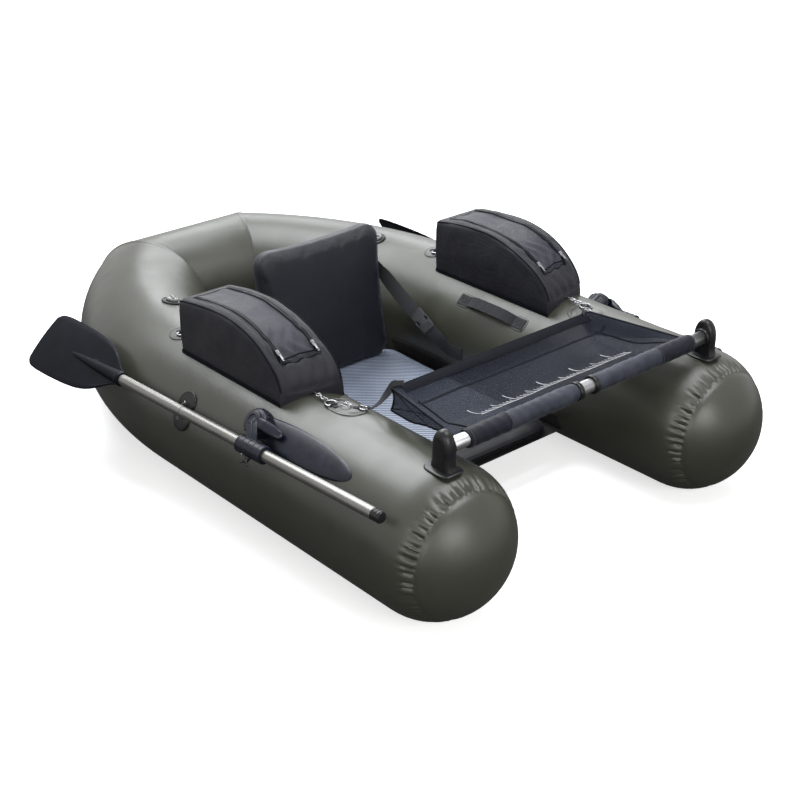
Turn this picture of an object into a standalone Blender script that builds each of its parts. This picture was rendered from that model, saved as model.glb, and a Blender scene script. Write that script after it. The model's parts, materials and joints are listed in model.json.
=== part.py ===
# Float tube: a small inflatable U-shaped fishing boat with one seat.
# Metres, +Z up. The open front faces -Y and the right side is -X.
# The origin is under the middle of the boat, on the surface it stands on.
import math

import bmesh
import bpy
from mathutils import Matrix, Vector
from mathutils.bvhtree import BVHTree

# Hull
TUBE_RADIUS = 0.165
TUBE_SPACING = 0.787
HULL_SKIN = 0.0009
NOSE_LENGTH = 0.156
STRAIGHT_LENGTH = 0.811
CORNER_RADIUS = 0.824
CORNER_TURN = math.radians(45)
TUBE_FACETS = 40
TURN_STEPS = 7
NOSE_STEPS = 6

# Clearances
GAP = 0.0003
RUNNING_CLEARANCE = 0.0005
CUT_OVERRUN = 0.01
WELD_DISTANCE = 0.00001

# Seat panel and seat cushion. A run is a distance back from the nose tip.
SEAT_LENGTH = 0.6
SEAT_REAR_OVERHANG = 0.058
SEAT_PANEL_HEIGHT = 0.074
SEAT_PANEL_SKIN = 0.0012
SEAT_FLANGE_TURN = math.radians(17)
SEAT_FLANGE_STEPS = 5
SEAT_CUSHION_SIDE_MARGIN = 0.0303
SEAT_CUSHION_REAR_MARGIN = 0.005
SEAT_CUSHION_THICKNESS = 0.03
SEAT_CUSHION_CROWN = 0.007
SEAT_CUSHION_CORNER = 0.05
SEAT_CUSHION_DRAW = 0.006

# Backrest
BACKREST_WIDTH = 0.372
BACKREST_HEIGHT = 0.35
BACKREST_THICKNESS = 0.06
BACKREST_CROWN = 0.011
BACKREST_CORNER = 0.045
BACKREST_DRAW = 0.005
BACKREST_LEAN = math.radians(7)
BACKREST_SETBACK = 0.063

# Backrest straps and their buckles
STRAP_WIDTH = 0.03
STRAP_THICKNESS = 0.0014
STRAP_TOP_HEIGHT = 0.335
STRAP_TOP_LENGTH = 0.04
STRAP_REACH = 0.192
STRAP_SEAT_LENGTH = 0.045
STRAP_STANDOFF = 0.006
STRAP_STEPS = 6
BUCKLE_LENGTH = 0.062
BUCKLE_WIDTH = 0.04
BUCKLE_THICKNESS = 0.012
BUCKLE_SHARE = 0.68

# Side bags
BAG_WIDTH = 0.145
BAG_INSET = 0.0075
BAG_REAR_MARGIN = 0.034
BAG_LENGTH = 0.378
BAG_HEIGHT = 0.133
BAG_NOSE_HEIGHT = 0.016
BAG_TAIL_DROP = 0.018
BAG_SKIN = 0.0025
BAG_EDGE_RADIUS = 0.01
BAG_CREST_SHARE = 0.56
BAG_ARCH_POWER = 1.75
BAG_STEPS = 11
LID_WIDTH = 0.088
LID_FRONT_SHARE = 0.13
LID_REAR_SHARE = 0.95
LID_FRONT_CLEARANCE = 0.0009
ZIP_CORD_RADIUS = 0.0018
ZIP_SLIDER_LENGTH = 0.016
ZIP_SLIDER_WIDTH = 0.007
ZIP_SLIDER_HEIGHT = 0.005
ZIP_CORD_SETBACK = 0.012

# Rings, hooks and the patches that carry them
PATCH_THICKNESS = 0.002
RING_WIRE_RADIUS = 0.002
RING_WIDTH = 0.026
RING_DEPTH = 0.018
RING_STEPS = 10
RING_SIDES = 6
LOOP_WIDTH = 0.011
LOOP_THICKNESS = 0.0015
FRONT_PATCH_LEAD = 0.089
FRONT_PATCH_ANGLE = math.radians(99)
FRONT_PATCH_LENGTH = 0.096
FRONT_PATCH_WIDTH = 0.072
BAG_RING_REAR_SHARE = 0.375
APRON_RING_FRONT_SHARE = 0.417
RING_SPREAD_SHARE = 0.56
APRON_RING_TURN = math.radians(54)
REAR_PATCH_SETBACK = 0.067
REAR_PATCH_ANGLES = {"right": math.radians(82), "left": math.radians(98)}
REAR_PATCH_LENGTH = 0.056
REAR_PATCH_WIDTH = 0.056
HOOK_WIRE_RADIUS = 0.0015

# Crossbar, its holders and the apron
BAR_RADIUS = 0.015
BAR_WALL = 0.0015
BAR_RUN = 0.14
BAR_HEIGHT = 0.374
BAR_END_REACH = 0.0015
HOLDER_WIDTH = 0.026
HOLDER_DEPTH = 0.05
HOLDER_CROWN = 0.04
HOLDER_SOCKET_DEPTH = 0.013
HOLDER_BASE_LENGTH = 0.076
HOLDER_BASE_WIDTH = 0.058
HOLDER_BASE_THICKNESS = 0.004
BAR_RING_WIDTH = 0.011
BAR_RING_THICKNESS = 0.0055
BAR_RING_PLACE = 0.024
SLEEVE_THICKNESS = 0.0055
SLEEVE_SETBACK = 0.0015
SLEEVE_END_MARGIN = 0.045
APRON_SKIN = 0.0014
APRON_REAR_MARGIN = 0.0672
APRON_SIDE_MARGIN = 0.037
APRON_TAPER = 0.045
APRON_SAG = 0.024
APRON_REAR_WALL = 0.055
APRON_SIDE_WALL = 0.042
APRON_COLUMNS = 20
APRON_ROWS = 10
APRON_STRAP_WIDTH = 0.018
APRON_STRAP_LAP = 0.012
APRON_STRAP_OVERHANG = 0.018
APRON_STRAP_PLACE_SHARE = 0.94
APRON_HOOK_WIDTH = 0.006

# Carry handles
HANDLE_RUN = 0.693
HANDLE_ANGLE = math.radians(134)
HANDLE_LENGTH = 0.222
HANDLE_PAD_LENGTH = 0.034
HANDLE_RISE = 0.018
HANDLE_WIDTH = 0.028
HANDLE_THICKNESS = 0.003
HANDLE_STEPS = 9

# Valves
VALVE_RUN = 1.193
VALVE_ANGLE = math.radians(104)
VALVE_FLANGE_WIDTH = 0.05
VALVE_FLANGE_THICKNESS = 0.004
VALVE_CAP_RADIUS = 0.0145
VALVE_CAP_HEIGHT = 0.006
VALVE_GRIP_WIDTH = 0.004
VALVE_GRIP_HEIGHT = 0.004

# Oarlocks. The left one sits lower round its tube, and its oar is clamped further back.
OARLOCK_DROPS = {"right": 0.0, "left": math.radians(12.5)}
OAR_SETBACKS = {"right": 0.0, "left": 0.09}
OARLOCK_RUN = 0.575
OARLOCK_ANGLE = math.radians(48)
OARLOCK_BASE_LENGTH = 0.335
OARLOCK_BASE_WIDTH = 0.07
OARLOCK_BASE_REAR = 0.045
OARLOCK_TAIL_HEIGHT = 0.006
OARLOCK_TIP_HEIGHT = 0.003
BOSS_RADIUS = 0.03
BOSS_HEIGHT = 0.03
BOSS_EDGE = 0.006
PIN_RADIUS = 0.006
PIN_LENGTH = 0.02
YOKE_CAP_RADIUS = 0.02
YOKE_THICKNESS = 0.006
YOKE_ARM_WIDTH = 0.028
YOKE_ARM_THICKNESS = 0.005
COLLAR_LENGTH = 0.08
COLLAR_WALL = 0.0065

# Oars, stowed along the tubes
SHAFT_RADIUS = 0.0125
SHAFT_WALL = 0.0011
SHAFT_SIDES = 16
OAR_COLLAR_LEAD = 0.045
OAR_ANGLE = math.radians(32.5)
OAR_STANDOFF = 0.0335
OAR_YAW = math.radians(1.4)
OAR_PITCH = math.radians(1.8)
SHAFT_REAR_LENGTH = 0.487
SHAFT_FRONT_LENGTH = 0.37
GRIP_LENGTH = 0.024
BLADE_LENGTH = 0.335
BLADE_WIDTH = 0.152
BLADE_THICKNESS = 0.004
BLADE_ROLL = math.radians(49)
BLADE_SOCKET_RADIUS = 0.0165
SPINE_LENGTH_SHARE = 0.62
BLADE_WIDTH_SHARES = (
    (0.0, 0.2), (0.05, 0.24), (0.14, 0.5), (0.24, 0.76), (0.36, 0.9),
    (0.52, 0.97), (0.72, 1.0), (0.9, 1.0), (0.965, 0.95), (1.0, 0.84),
)
WING_BOLT_RADIUS = 0.007
WING_BOLT_LENGTH = 0.012
WING_SPAN = 0.03
WING_HEIGHT = 0.012
WING_THICKNESS = 0.004
KEEPER_RUN = 0.815
KEEPER_ANGLE = math.radians(28)
KEEPER_LENGTH = 0.054
KEEPER_WIDTH = 0.086
KEEPER_THICKNESS = 0.004

SIDES = {"right": -1, "left": 1}

for old_object in list(bpy.data.objects):
    bpy.data.objects.remove(old_object, do_unlink=True)

# Places worked out from the driving sizes
axis_offset = TUBE_SPACING / 2
hull_skin_radius = TUBE_RADIUS - HULL_SKIN
turn_reach = CORNER_RADIUS * math.sin(CORNER_TURN)
turn_inset = CORNER_RADIUS * (1 - math.cos(CORNER_TURN))
mitre_slope = math.tan((math.pi / 2 - CORNER_TURN) / 2)
rear_half = axis_offset - turn_inset
rear_axis_run = NOSE_LENGTH + STRAIGHT_LENGTH + turn_reach
hull_length = rear_axis_run + TUBE_RADIUS
nose_tip = -hull_length / 2
turn_start_run = NOSE_LENGTH + STRAIGHT_LENGTH
turn_step = CORNER_RADIUS * CORNER_TURN / TURN_STEPS
seat_rear_run = turn_start_run + SEAT_REAR_OVERHANG
seat_front_run = seat_rear_run - SEAT_LENGTH
seat_top = SEAT_PANEL_HEIGHT + SEAT_PANEL_SKIN + GAP
cushion_rear_run = seat_rear_run - SEAT_CUSHION_REAR_MARGIN
backrest_foot_run = cushion_rear_run - BACKREST_SETBACK
bag_front_run = turn_start_run - BAG_REAR_MARGIN - BAG_LENGTH
front_patch_run = bag_front_run - FRONT_PATCH_LEAD
rear_patch_run = bag_front_run + BAG_LENGTH + REAR_PATCH_SETBACK
bar_half = axis_offset + BAR_END_REACH
holder_inner_x = bar_half - HOLDER_SOCKET_DEPTH
apron_front_y = BAR_RADIUS + SLEEVE_THICKNESS + GAP
apron_depth = front_patch_run - APRON_REAR_MARGIN - BAR_RUN - apron_front_y


def place_y(run):
    """The Y of a point that lies a given run behind the nose tip."""
    return nose_tip + run


def make_material(name, colour, roughness, metallic=0.0):
    material = bpy.data.materials.new(name)
    material.use_nodes = True
    shader = material.node_tree.nodes["Principled BSDF"]
    shader.inputs["Base Color"].default_value = (*colour, 1.0)
    shader.inputs["Roughness"].default_value = roughness
    shader.inputs["Metallic"].default_value = metallic
    return material


def mesh_from_rings(rings, inner_rings=None, tip=None, inner_tip=None):
    """Skin a row of closed rings. Inner rings make a hollow wall that is open where it has no tip."""
    bm = bmesh.new()

    def add_rows(rows):
        return [[bm.verts.new(point) for point in row] for row in rows]

    def bridge(first, second):
        count = len(first)
        for i in range(count):
            j = (i + 1) % count
            bm.faces.new((first[i], first[j], second[j], second[i]))

    def fan(row, point):
        centre = bm.verts.new(point)
        for i in range(len(row)):
            bm.faces.new((row[i], row[(i + 1) % len(row)], centre))

    outer = add_rows(rings)
    for first, second in zip(outer, outer[1:]):
        bridge(first, second)
    if inner_rings is None:
        bm.faces.new(outer[0])
        if tip is None:
            bm.faces.new(outer[-1])
        else:
            fan(outer[-1], tip)
    else:
        inner = add_rows(inner_rings)
        for first, second in zip(inner, inner[1:]):
            bridge(first, second)
        bridge(outer[0], inner[0])
        if tip is None:
            bridge(outer[-1], inner[-1])
        else:
            fan(outer[-1], tip)
            fan(inner[-1], inner_tip)
    return finish_bmesh(bm)


def finish_bmesh(bm):
    bmesh.ops.recalc_face_normals(bm, faces=bm.faces)
    mesh = bpy.data.meshes.new("shape")
    bm.to_mesh(mesh)
    bm.free()
    return mesh


def add_part(name, mesh, material, origin=None, smooth_angle=math.radians(40)):
    """Link a mesh made in world places as an object, with its origin on a joint's axis if one is given."""
    if origin is not None:
        mesh.transform(Matrix.Translation(-Vector(origin)))
    mesh.name = name
    mesh.materials.clear()
    mesh.materials.append(material)
    mesh.shade_smooth()
    mesh.set_sharp_from_angle(angle=smooth_angle)
    part = bpy.data.objects.new(name, mesh)
    if origin is not None:
        part.location = origin
    bpy.context.collection.objects.link(part)
    return part


def combine(base_mesh, other_mesh, operation):
    """Join or cut two closed meshes and return the mesh that results."""
    base = bpy.data.objects.new("base", base_mesh)
    other = bpy.data.objects.new("other", other_mesh)
    for item in (base, other):
        bpy.context.collection.objects.link(item)
    modifier = base.modifiers.new("combine", "BOOLEAN")
    modifier.operation = operation
    modifier.solver = "EXACT"
    modifier.object = other
    graph = bpy.context.evaluated_depsgraph_get()
    result = bpy.data.meshes.new_from_object(base.evaluated_get(graph))
    for item in (base, other):
        bpy.data.objects.remove(item, do_unlink=True)
    bm = bmesh.new()
    bm.from_mesh(result)
    bmesh.ops.remove_doubles(bm, verts=bm.verts, dist=WELD_DISTANCE)
    bm.to_mesh(result)
    bm.free()
    return result


def box_mesh(size, frame):
    """A box of the given full sizes, centred on a frame."""
    bm = bmesh.new()
    bmesh.ops.create_cube(bm, size=1.0, matrix=frame @ Matrix.Diagonal((*size, 1.0)))
    return finish_bmesh(bm)


def round_mesh(radius, height, frame, sides=24, edge=0.0):
    """A cylinder that stands on the frame's XY plane, with an optional bevel round its top."""
    bm = bmesh.new()
    lift = Matrix.Translation((0, 0, height / 2))
    bmesh.ops.create_cone(
        bm, cap_ends=True, segments=sides, radius1=radius, radius2=radius, depth=height, matrix=frame @ lift
    )
    if edge > 0:
        up = frame.to_3x3() @ Vector((0, 0, 1))
        top_face = max(bm.faces, key=lambda face: face.calc_center_median().dot(up))
        bmesh.ops.bevel(
            bm, geom=list(top_face.edges), offset=edge, segments=2, profile=0.5, affect="EDGES"
        )
    return finish_bmesh(bm)


def ring_points(centre, first, second, radius, count):
    """Points of a circle in the plane of two unit vectors."""
    points = []
    for i in range(count):
        angle = 2 * math.pi * i / count
        points.append(centre + first * (radius * math.cos(angle)) + second * (radius * math.sin(angle)))
    return points


def tube_mesh(start, end, radius, inner_radius, sides, up=Vector((0, 0, 1))):
    """A straight pipe between two points, solid if it has no inner radius."""
    along = (end - start).normalized()
    first = along.cross(up).normalized()
    second = first.cross(along)
    outer = [ring_points(point, first, second, radius, sides) for point in (start, end)]
    if inner_radius is None:
        return mesh_from_rings(outer)
    inner = [ring_points(point, first, second, inner_radius, sides) for point in (start, end)]
    return mesh_from_rings(outer, inner)


def wire_mesh(points, normal, radius, closed, sides=RING_SIDES):
    """A round wire bent along points that lie in one plane with the given normal."""
    rings = []
    count = len(points)
    for i, point in enumerate(points):
        if closed:
            before = points[i - 1]
            after = points[(i + 1) % count]
        else:
            before = points[max(i - 1, 0)]
            after = points[min(i + 1, count - 1)]
        along = (after - before).normalized()
        rings.append(ring_points(point, normal, along.cross(normal).normalized(), radius, sides))
    if not closed:
        return mesh_from_rings(rings)
    bm = bmesh.new()
    rows = [[bm.verts.new(point) for point in ring] for ring in rings]
    for i in range(count):
        first = rows[i]
        second = rows[(i + 1) % count]
        for j in range(sides):
            k = (j + 1) % sides
            bm.faces.new((first[j], first[k], second[k], second[j]))
    return finish_bmesh(bm)


def strip_mesh(points, across, width, thickness):
    """A flat strip that follows points. Width and across may be given once or for each point."""
    rings = []
    for i, point in enumerate(points):
        before = points[max(i - 1, 0)]
        after = points[min(i + 1, len(points) - 1)]
        along = (after - before).normalized()
        side = across[i] if isinstance(across, list) else across
        side = (side - along * side.dot(along)).normalized()
        face = side.cross(along).normalized()
        span = width[i] if isinstance(width, list) else width
        ring = []
        for u, v in ((-0.5, -0.5), (0.5, -0.5), (0.5, 0.5), (-0.5, 0.5)):
            ring.append(point + side * (u * span) + face * (v * thickness))
        rings.append(ring)
    return mesh_from_rings(rings)


def arc_station(side, run):
    """Centre and outward direction on the true bend of a side tube."""
    turn = max(0.0, (run - turn_start_run) / CORNER_RADIUS)
    straight_run = min(run, turn_start_run)
    inset = CORNER_RADIUS * (1 - math.cos(turn))
    centre = Vector((
        side * (axis_offset - inset),
        place_y(straight_run) + CORNER_RADIUS * math.sin(turn),
        TUBE_RADIUS,
    ))
    return centre, Vector((side * math.cos(turn), math.sin(turn), 0))


def hull_station(side, run):
    """Centre, heading and outward direction of a side tube at a run behind the nose tip."""
    if run <= turn_start_run:
        centre, outward = arc_station(side, run)
        return centre, Vector((0, 1, 0)), outward
    span = min(TURN_STEPS - 1, int((run - turn_start_run) / turn_step))
    share = (run - turn_start_run) / turn_step - span
    first, first_out = arc_station(side, turn_start_run + span * turn_step)
    second, second_out = arc_station(side, turn_start_run + (span + 1) * turn_step)
    heading = (second - first).normalized()
    return first.lerp(second, share), heading, first_out.lerp(second_out, share)


def hull_frame(side, run, angle, radius):
    """A frame on a side tube. X runs back along it, Z points away from it, angle 0 is outboard."""
    centre, heading, outward = hull_station(side, run)
    away = outward * math.cos(angle) + Vector((0, 0, math.sin(angle)))
    around = away.cross(heading)
    frame = Matrix((heading, around, away)).transposed().to_4x4()
    frame.translation = centre + away * radius
    return frame


def hull_ring(side, run, radius, mitred=False):
    centre, outward = arc_station(side, run)
    heading = Vector((-side * outward.y, side * outward.x, 0))
    points = []
    for i in range(TUBE_FACETS):
        angle = 2 * math.pi * i / TUBE_FACETS
        offset = radius * math.cos(angle)
        reach = offset * mitre_slope - GAP / 2 if mitred else 0.0
        points.append(centre + outward * offset + heading * reach + Vector((0, 0, radius * math.sin(angle))))
    return points


def surface_pad(frame_at, length, width, thickness, base_radius, height_at=None, segments=24, rows=3):
    """A plate that lies on a tube. Its outline is an ellipse of the given length and width."""
    bm = bmesh.new()

    def point_at(row_share, i, lift):
        angle = 2 * math.pi * i / segments
        along = row_share * length / 2 * math.cos(angle)
        turn = row_share * width / 2 * math.sin(angle) / base_radius
        return frame_at(along, turn, base_radius + lift).translation

    def top_lift(row_share, i):
        if height_at is None:
            return thickness
        return height_at(row_share * math.cos(2 * math.pi * i / segments))

    layers = []
    for on_top in (False, True):
        centre_lift = top_lift(0.0, 0) if on_top else 0.0
        centre = bm.verts.new(point_at(0.0, 0, centre_lift))
        circles = []
        for row in range(1, rows + 1):
            share = row / rows
            circle = []
            for i in range(segments):
                lift = top_lift(share, i) if on_top else 0.0
                circle.append(bm.verts.new(point_at(share, i, lift)))
            circles.append(circle)
        layers.append(circles)
        for i in range(segments):
            bm.faces.new((centre, circles[0][i], circles[0][(i + 1) % segments]))
        for inner, outer in zip(circles, circles[1:]):
            for i in range(segments):
                j = (i + 1) % segments
                bm.faces.new((inner[i], inner[j], outer[j], outer[i]))
    bottom_edge = layers[0][-1]
    top_edge = layers[1][-1]
    for i in range(segments):
        j = (i + 1) % segments
        bm.faces.new((bottom_edge[i], bottom_edge[j], top_edge[j], top_edge[i]))
    return finish_bmesh(bm)


def pad_on_hull(side, run, angle, length, width, thickness, height_at=None, segments=24, rows=3):
    def frame_at(along, turn, radius):
        return hull_frame(side, run + along, angle + turn, radius)

    return surface_pad(frame_at, length, width, thickness, TUBE_RADIUS + GAP, height_at, segments, rows)


def rounded_outline(half_width, half_length, corner, draw, arc_steps, side_steps):
    """Outline of a rounded rectangle whose sides pull in between its corners."""
    corners = (
        (half_width - corner, half_length - corner), (corner - half_width, half_length - corner),
        (corner - half_width, corner - half_length), (half_width - corner, corner - half_length),
    )
    arcs = []
    for quarter, (x, y) in enumerate(corners):
        arc = []
        for i in range(arc_steps + 1):
            angle = math.pi / 2 * (quarter + i / arc_steps)
            arc.append((x + corner * math.cos(angle), y + corner * math.sin(angle)))
        arcs.append(arc)
    points = []
    for quarter, arc in enumerate(arcs):
        points += arc
        x0, y0 = arc[-1]
        x1, y1 = arcs[(quarter + 1) % len(arcs)][0]
        for i in range(1, side_steps):
            share = i / side_steps
            points.append((x0 + (x1 - x0) * share, y0 + (y1 - y0) * share))
    drawn = []
    for x, y in points:
        pull_x = draw * (1 - (y / half_length) ** 2)
        pull_y = draw * (1 - (x / half_width) ** 2)
        drawn.append((x - pull_x * x / half_width, y - pull_y * y / half_length))
    return drawn


def cushion_mesh(width, length, thickness, crown, corner, draw, frame, base_crown=0.0):
    """A sewn cushion: a seam round its middle, drawn-in sides and a crowned face."""
    # share of the height, and share of the corner radius by which the outline shrinks there
    wall_shares = ((0.0, 0.34), (0.08, 0.14), (0.3, 0.02), (0.5, 0.0), (0.7, 0.02), (0.92, 0.14), (1.0, 0.34))
    crown_shares = (0.82, 0.6, 0.34)
    rings = []

    def outline_ring(scale_inset, height, shrink=1.0):
        half_width = (width / 2 - corner * scale_inset) * shrink
        half_length = (length / 2 - corner * scale_inset) * shrink
        rounded = corner * shrink * (1 - scale_inset * 0.5)
        outline = rounded_outline(half_width, half_length, rounded, draw * shrink, 4, 4)
        return [frame @ Vector((x, y, height)) for x, y in outline]

    last_inset = wall_shares[-1][1]
    for share in reversed(crown_shares):
        rings.append(outline_ring(last_inset, -base_crown * (1 - share ** 2), share))
    for height_share, inset_share in wall_shares:
        rings.append(outline_ring(inset_share, thickness * height_share))
    for share in crown_shares:
        rings.append(outline_ring(last_inset, thickness + crown * (1 - share ** 2), share))
    return mesh_from_rings(rings, tip=frame @ Vector((0, 0, thickness + crown)))


# Hull
hull_material = make_material("hull_pvc", (0.105, 0.11, 0.09), 0.38)
rear_material = make_material("rear_pvc", (0.1, 0.105, 0.086), 0.38)
cap_material = make_material("cap_pvc", (0.098, 0.102, 0.084), 0.38)


def add_side_tube(word, side):
    def rows(radius):
        runs = [NOSE_LENGTH + GAP, turn_start_run]
        for i in range(1, TURN_STEPS):
            runs.append(turn_start_run + turn_step * i)
        made = [hull_ring(side, run, radius) for run in runs]
        made.append(hull_ring(side, turn_start_run + turn_step * TURN_STEPS, radius, mitred=True))
        return made

    mesh = mesh_from_rings(rows(TUBE_RADIUS), rows(hull_skin_radius))
    add_part(f"side_tube_{word}", mesh, hull_material)


def add_nose_cap(word, side):
    def rows(radius, depth):
        made = []
        for i in range(NOSE_STEPS):
            angle = math.pi / 2 * i / NOSE_STEPS
            centre, heading, outward = hull_station(side, NOSE_LENGTH)
            centre = centre - heading * (depth * math.sin(angle))
            up = Vector((0, 0, 1))
            made.append(ring_points(centre, outward, up, radius * math.cos(angle), TUBE_FACETS))
        return made, centre_tip(side, depth)

    outer, tip = rows(TUBE_RADIUS, NOSE_LENGTH)
    inner, inner_tip = rows(hull_skin_radius, NOSE_LENGTH - HULL_SKIN)
    add_part(f"nose_cap_{word}", mesh_from_rings(outer, inner, tip, inner_tip), cap_material)


def centre_tip(side, depth):
    centre, heading, outward = hull_station(side, NOSE_LENGTH)
    return centre - heading * depth


def add_rear_tube():
    def rows(radius):
        made = []
        for side in (-1, 1):
            row = []
            for i in range(TUBE_FACETS):
                angle = 2 * math.pi * i / TUBE_FACETS
                offset = radius * math.cos(angle)
                reach = rear_half + offset * mitre_slope - GAP / 2
                row.append(Vector((
                    side * reach, place_y(rear_axis_run) + offset, TUBE_RADIUS + radius * math.sin(angle)
                )))
            made.append(row)
        return made

    add_part("rear_tube", mesh_from_rings(rows(TUBE_RADIUS), rows(hull_skin_radius)), rear_material)


# Seat
panel_material = make_material("seat_panel_pvc", (0.03, 0.032, 0.036), 0.6)
seat_material = make_material("seat_cloth", (0.12, 0.14, 0.18), 0.55)
backrest_material = make_material("backrest_cloth", (0.018, 0.02, 0.032), 0.7)


def panel_section(run):
    """The seat panel across the boat: a flat floor with a flange up the inner side of each tube."""
    near_radius = TUBE_RADIUS + GAP
    far_radius = near_radius + SEAT_PANEL_SKIN
    top = SEAT_PANEL_HEIGHT + SEAT_PANEL_SKIN
    low_angle = math.asin((SEAT_PANEL_HEIGHT - TUBE_RADIUS) / near_radius)
    meet_angle = math.asin((top - TUBE_RADIUS) / far_radius)
    end_angle = meet_angle + SEAT_FLANGE_TURN

    def arc(radius, start, end):
        made = []
        for i in range(SEAT_FLANGE_STEPS + 1):
            angle = start + (end - start) * i / SEAT_FLANGE_STEPS
            made.append(hull_frame(1, run, math.pi - angle, radius).translation)
        return made

    half = arc(far_radius, meet_angle, end_angle) + arc(near_radius, end_angle, low_angle)
    return half + [Vector((-point.x, point.y, point.z)) for point in reversed(half)]


def add_seat_panel():
    bend_runs = [turn_start_run + turn_step * i for i in range(TURN_STEPS)]
    between = [run for run in bend_runs if seat_front_run < run < seat_rear_run]
    rings = [panel_section(run) for run in (seat_front_run, *between, seat_rear_run)]
    add_part("seat_panel", mesh_from_rings(rings), panel_material, smooth_angle=math.radians(30))


def settle(mesh, support):
    """How far a mesh can go down until it is one gap above the mesh that supports it."""
    trees = []
    for piece in (mesh, support):
        places = [vertex.co for vertex in piece.vertices]
        faces = [tuple(face.vertices) for face in piece.polygons]
        trees.append(BVHTree.FromPolygons(places, faces))
    upper, lower = trees
    down = Vector((0, 0, -1))
    drops = []
    for vertex in mesh.vertices:
        hit = lower.ray_cast(vertex.co, down)
        if hit[0] is not None:
            drops.append(hit[3])
    for vertex in support.vertices:
        hit = upper.ray_cast(vertex.co, -down)
        if hit[0] is not None:
            drops.append(hit[3])
    return min(drops) - GAP


def add_seat_cushion():
    flange_radius = TUBE_RADIUS + GAP + SEAT_PANEL_SKIN
    below_axis = TUBE_RADIUS - SEAT_PANEL_HEIGHT - SEAT_PANEL_SKIN
    floor_half = axis_offset - math.sqrt(flange_radius ** 2 - below_axis ** 2)
    width = 2 * (floor_half - SEAT_CUSHION_SIDE_MARGIN)
    length = cushion_rear_run - seat_front_run
    frame = Matrix.Translation((0, place_y(seat_front_run + length / 2), seat_top))
    mesh = cushion_mesh(
        width, length, SEAT_CUSHION_THICKNESS, SEAT_CUSHION_CROWN,
        SEAT_CUSHION_CORNER, SEAT_CUSHION_DRAW, frame,
    )
    add_part("seat_cushion", mesh, seat_material)
    return mesh


def add_backrest(support):
    """The backrest, let down onto the seat cushion. Returns the place of its bottom front edge."""
    # local X across, local Y up the backrest, local Z towards the front
    up = Vector((0, math.sin(BACKREST_LEAN), math.cos(BACKREST_LEAN)))
    front = Vector((0, -math.cos(BACKREST_LEAN), math.sin(BACKREST_LEAN)))
    frame = Matrix((Vector((1, 0, 0)), up, front)).transposed().to_4x4()
    foot = Vector((0, place_y(backrest_foot_run), seat_top + BACKREST_HEIGHT))
    frame.translation = foot + up * (BACKREST_HEIGHT / 2) - front * BACKREST_THICKNESS
    mesh = cushion_mesh(
        BACKREST_WIDTH, BACKREST_HEIGHT, BACKREST_THICKNESS, BACKREST_CROWN,
        BACKREST_CORNER, BACKREST_DRAW, frame,
    )
    drop = Vector((0, 0, -settle(mesh, support)))
    mesh.transform(Matrix.Translation(drop))
    add_part("backrest_cushion", mesh, backrest_material, origin=foot + drop)
    return foot + drop


# Backrest straps
strap_material = make_material("strap_webbing", (0.035, 0.038, 0.042), 0.8)
buckle_material = make_material("buckle_plastic", (0.02, 0.021, 0.024), 0.45)


def strap_points(side, foot):
    """The strap from its weld on the tube's inner side to its end on the side of the backrest."""
    tube_face = axis_offset - TUBE_RADIUS
    seat_x = tube_face - GAP - STRAP_THICKNESS / 2
    seat_y = place_y(backrest_foot_run - STRAP_REACH)
    half_height = BACKREST_HEIGHT / 2
    up_backrest = (STRAP_TOP_HEIGHT - foot.z) / math.cos(BACKREST_LEAN)
    from_middle = (up_backrest - half_height) / half_height
    side_x = BACKREST_WIDTH / 2 - BACKREST_DRAW * (1 - from_middle ** 2)
    top_x = side_x + GAP + BACKREST_DRAW * STRAP_WIDTH / BACKREST_HEIGHT + STRAP_THICKNESS / 2
    seam_y = foot.y + up_backrest * math.sin(BACKREST_LEAN) + BACKREST_THICKNESS / 2
    half_top = STRAP_TOP_LENGTH / 2
    low_end = Vector((side * seat_x, seat_y - STRAP_SEAT_LENGTH / 2, TUBE_RADIUS))
    low_turn = Vector((side * seat_x, seat_y + STRAP_SEAT_LENGTH / 2, TUBE_RADIUS))
    leave_x = seat_x - STRAP_STANDOFF
    leave = Vector((side * leave_x, seat_y + STRAP_SEAT_LENGTH, TUBE_RADIUS + STRAP_WIDTH / 2))
    top_turn = Vector((side * top_x, seam_y - half_top, STRAP_TOP_HEIGHT - half_top / 2))
    top_end = Vector((side * top_x, seam_y + half_top, STRAP_TOP_HEIGHT + half_top / 2))
    return [low_end, low_turn, leave, top_turn, top_end]


def add_backrest_strap(word, side, foot):
    points = strap_points(side, foot)
    leave, top = points[2], points[3]
    between = [leave.lerp(top, i / STRAP_STEPS) for i in range(1, STRAP_STEPS)]
    dense = points[:3] + between + points[3:]
    mesh = strip_mesh(dense, Vector((0, 0, 1)), STRAP_WIDTH, STRAP_THICKNESS)
    add_part(f"backrest_strap_{word}", mesh, strap_material)
    along = (leave - top).normalized()
    middle = top + (leave - top) * BUCKLE_SHARE
    across = Vector((0, 0, 1))
    across = (across - along * across.dot(along)).normalized()
    face = across.cross(along).normalized()
    rings = []
    inner_rings = []
    slot_width = STRAP_WIDTH + 2 * RUNNING_CLEARANCE
    slot_height = STRAP_THICKNESS + 2 * RUNNING_CLEARANCE
    for end in (-0.5, 0.5):
        centre = middle + along * (end * BUCKLE_LENGTH)
        ring = []
        inner = []
        for u, v in ((-0.5, -0.5), (0.5, -0.5), (0.5, 0.5), (-0.5, 0.5)):
            ring.append(centre + across * (u * BUCKLE_WIDTH) + face * (v * BUCKLE_THICKNESS))
            inner.append(centre + across * (u * slot_width) + face * (v * slot_height))
        rings.append(ring)
        inner_rings.append(inner)
    add_part(f"strap_buckle_{word}", mesh_from_rings(rings, inner_rings), buckle_material)


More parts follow.
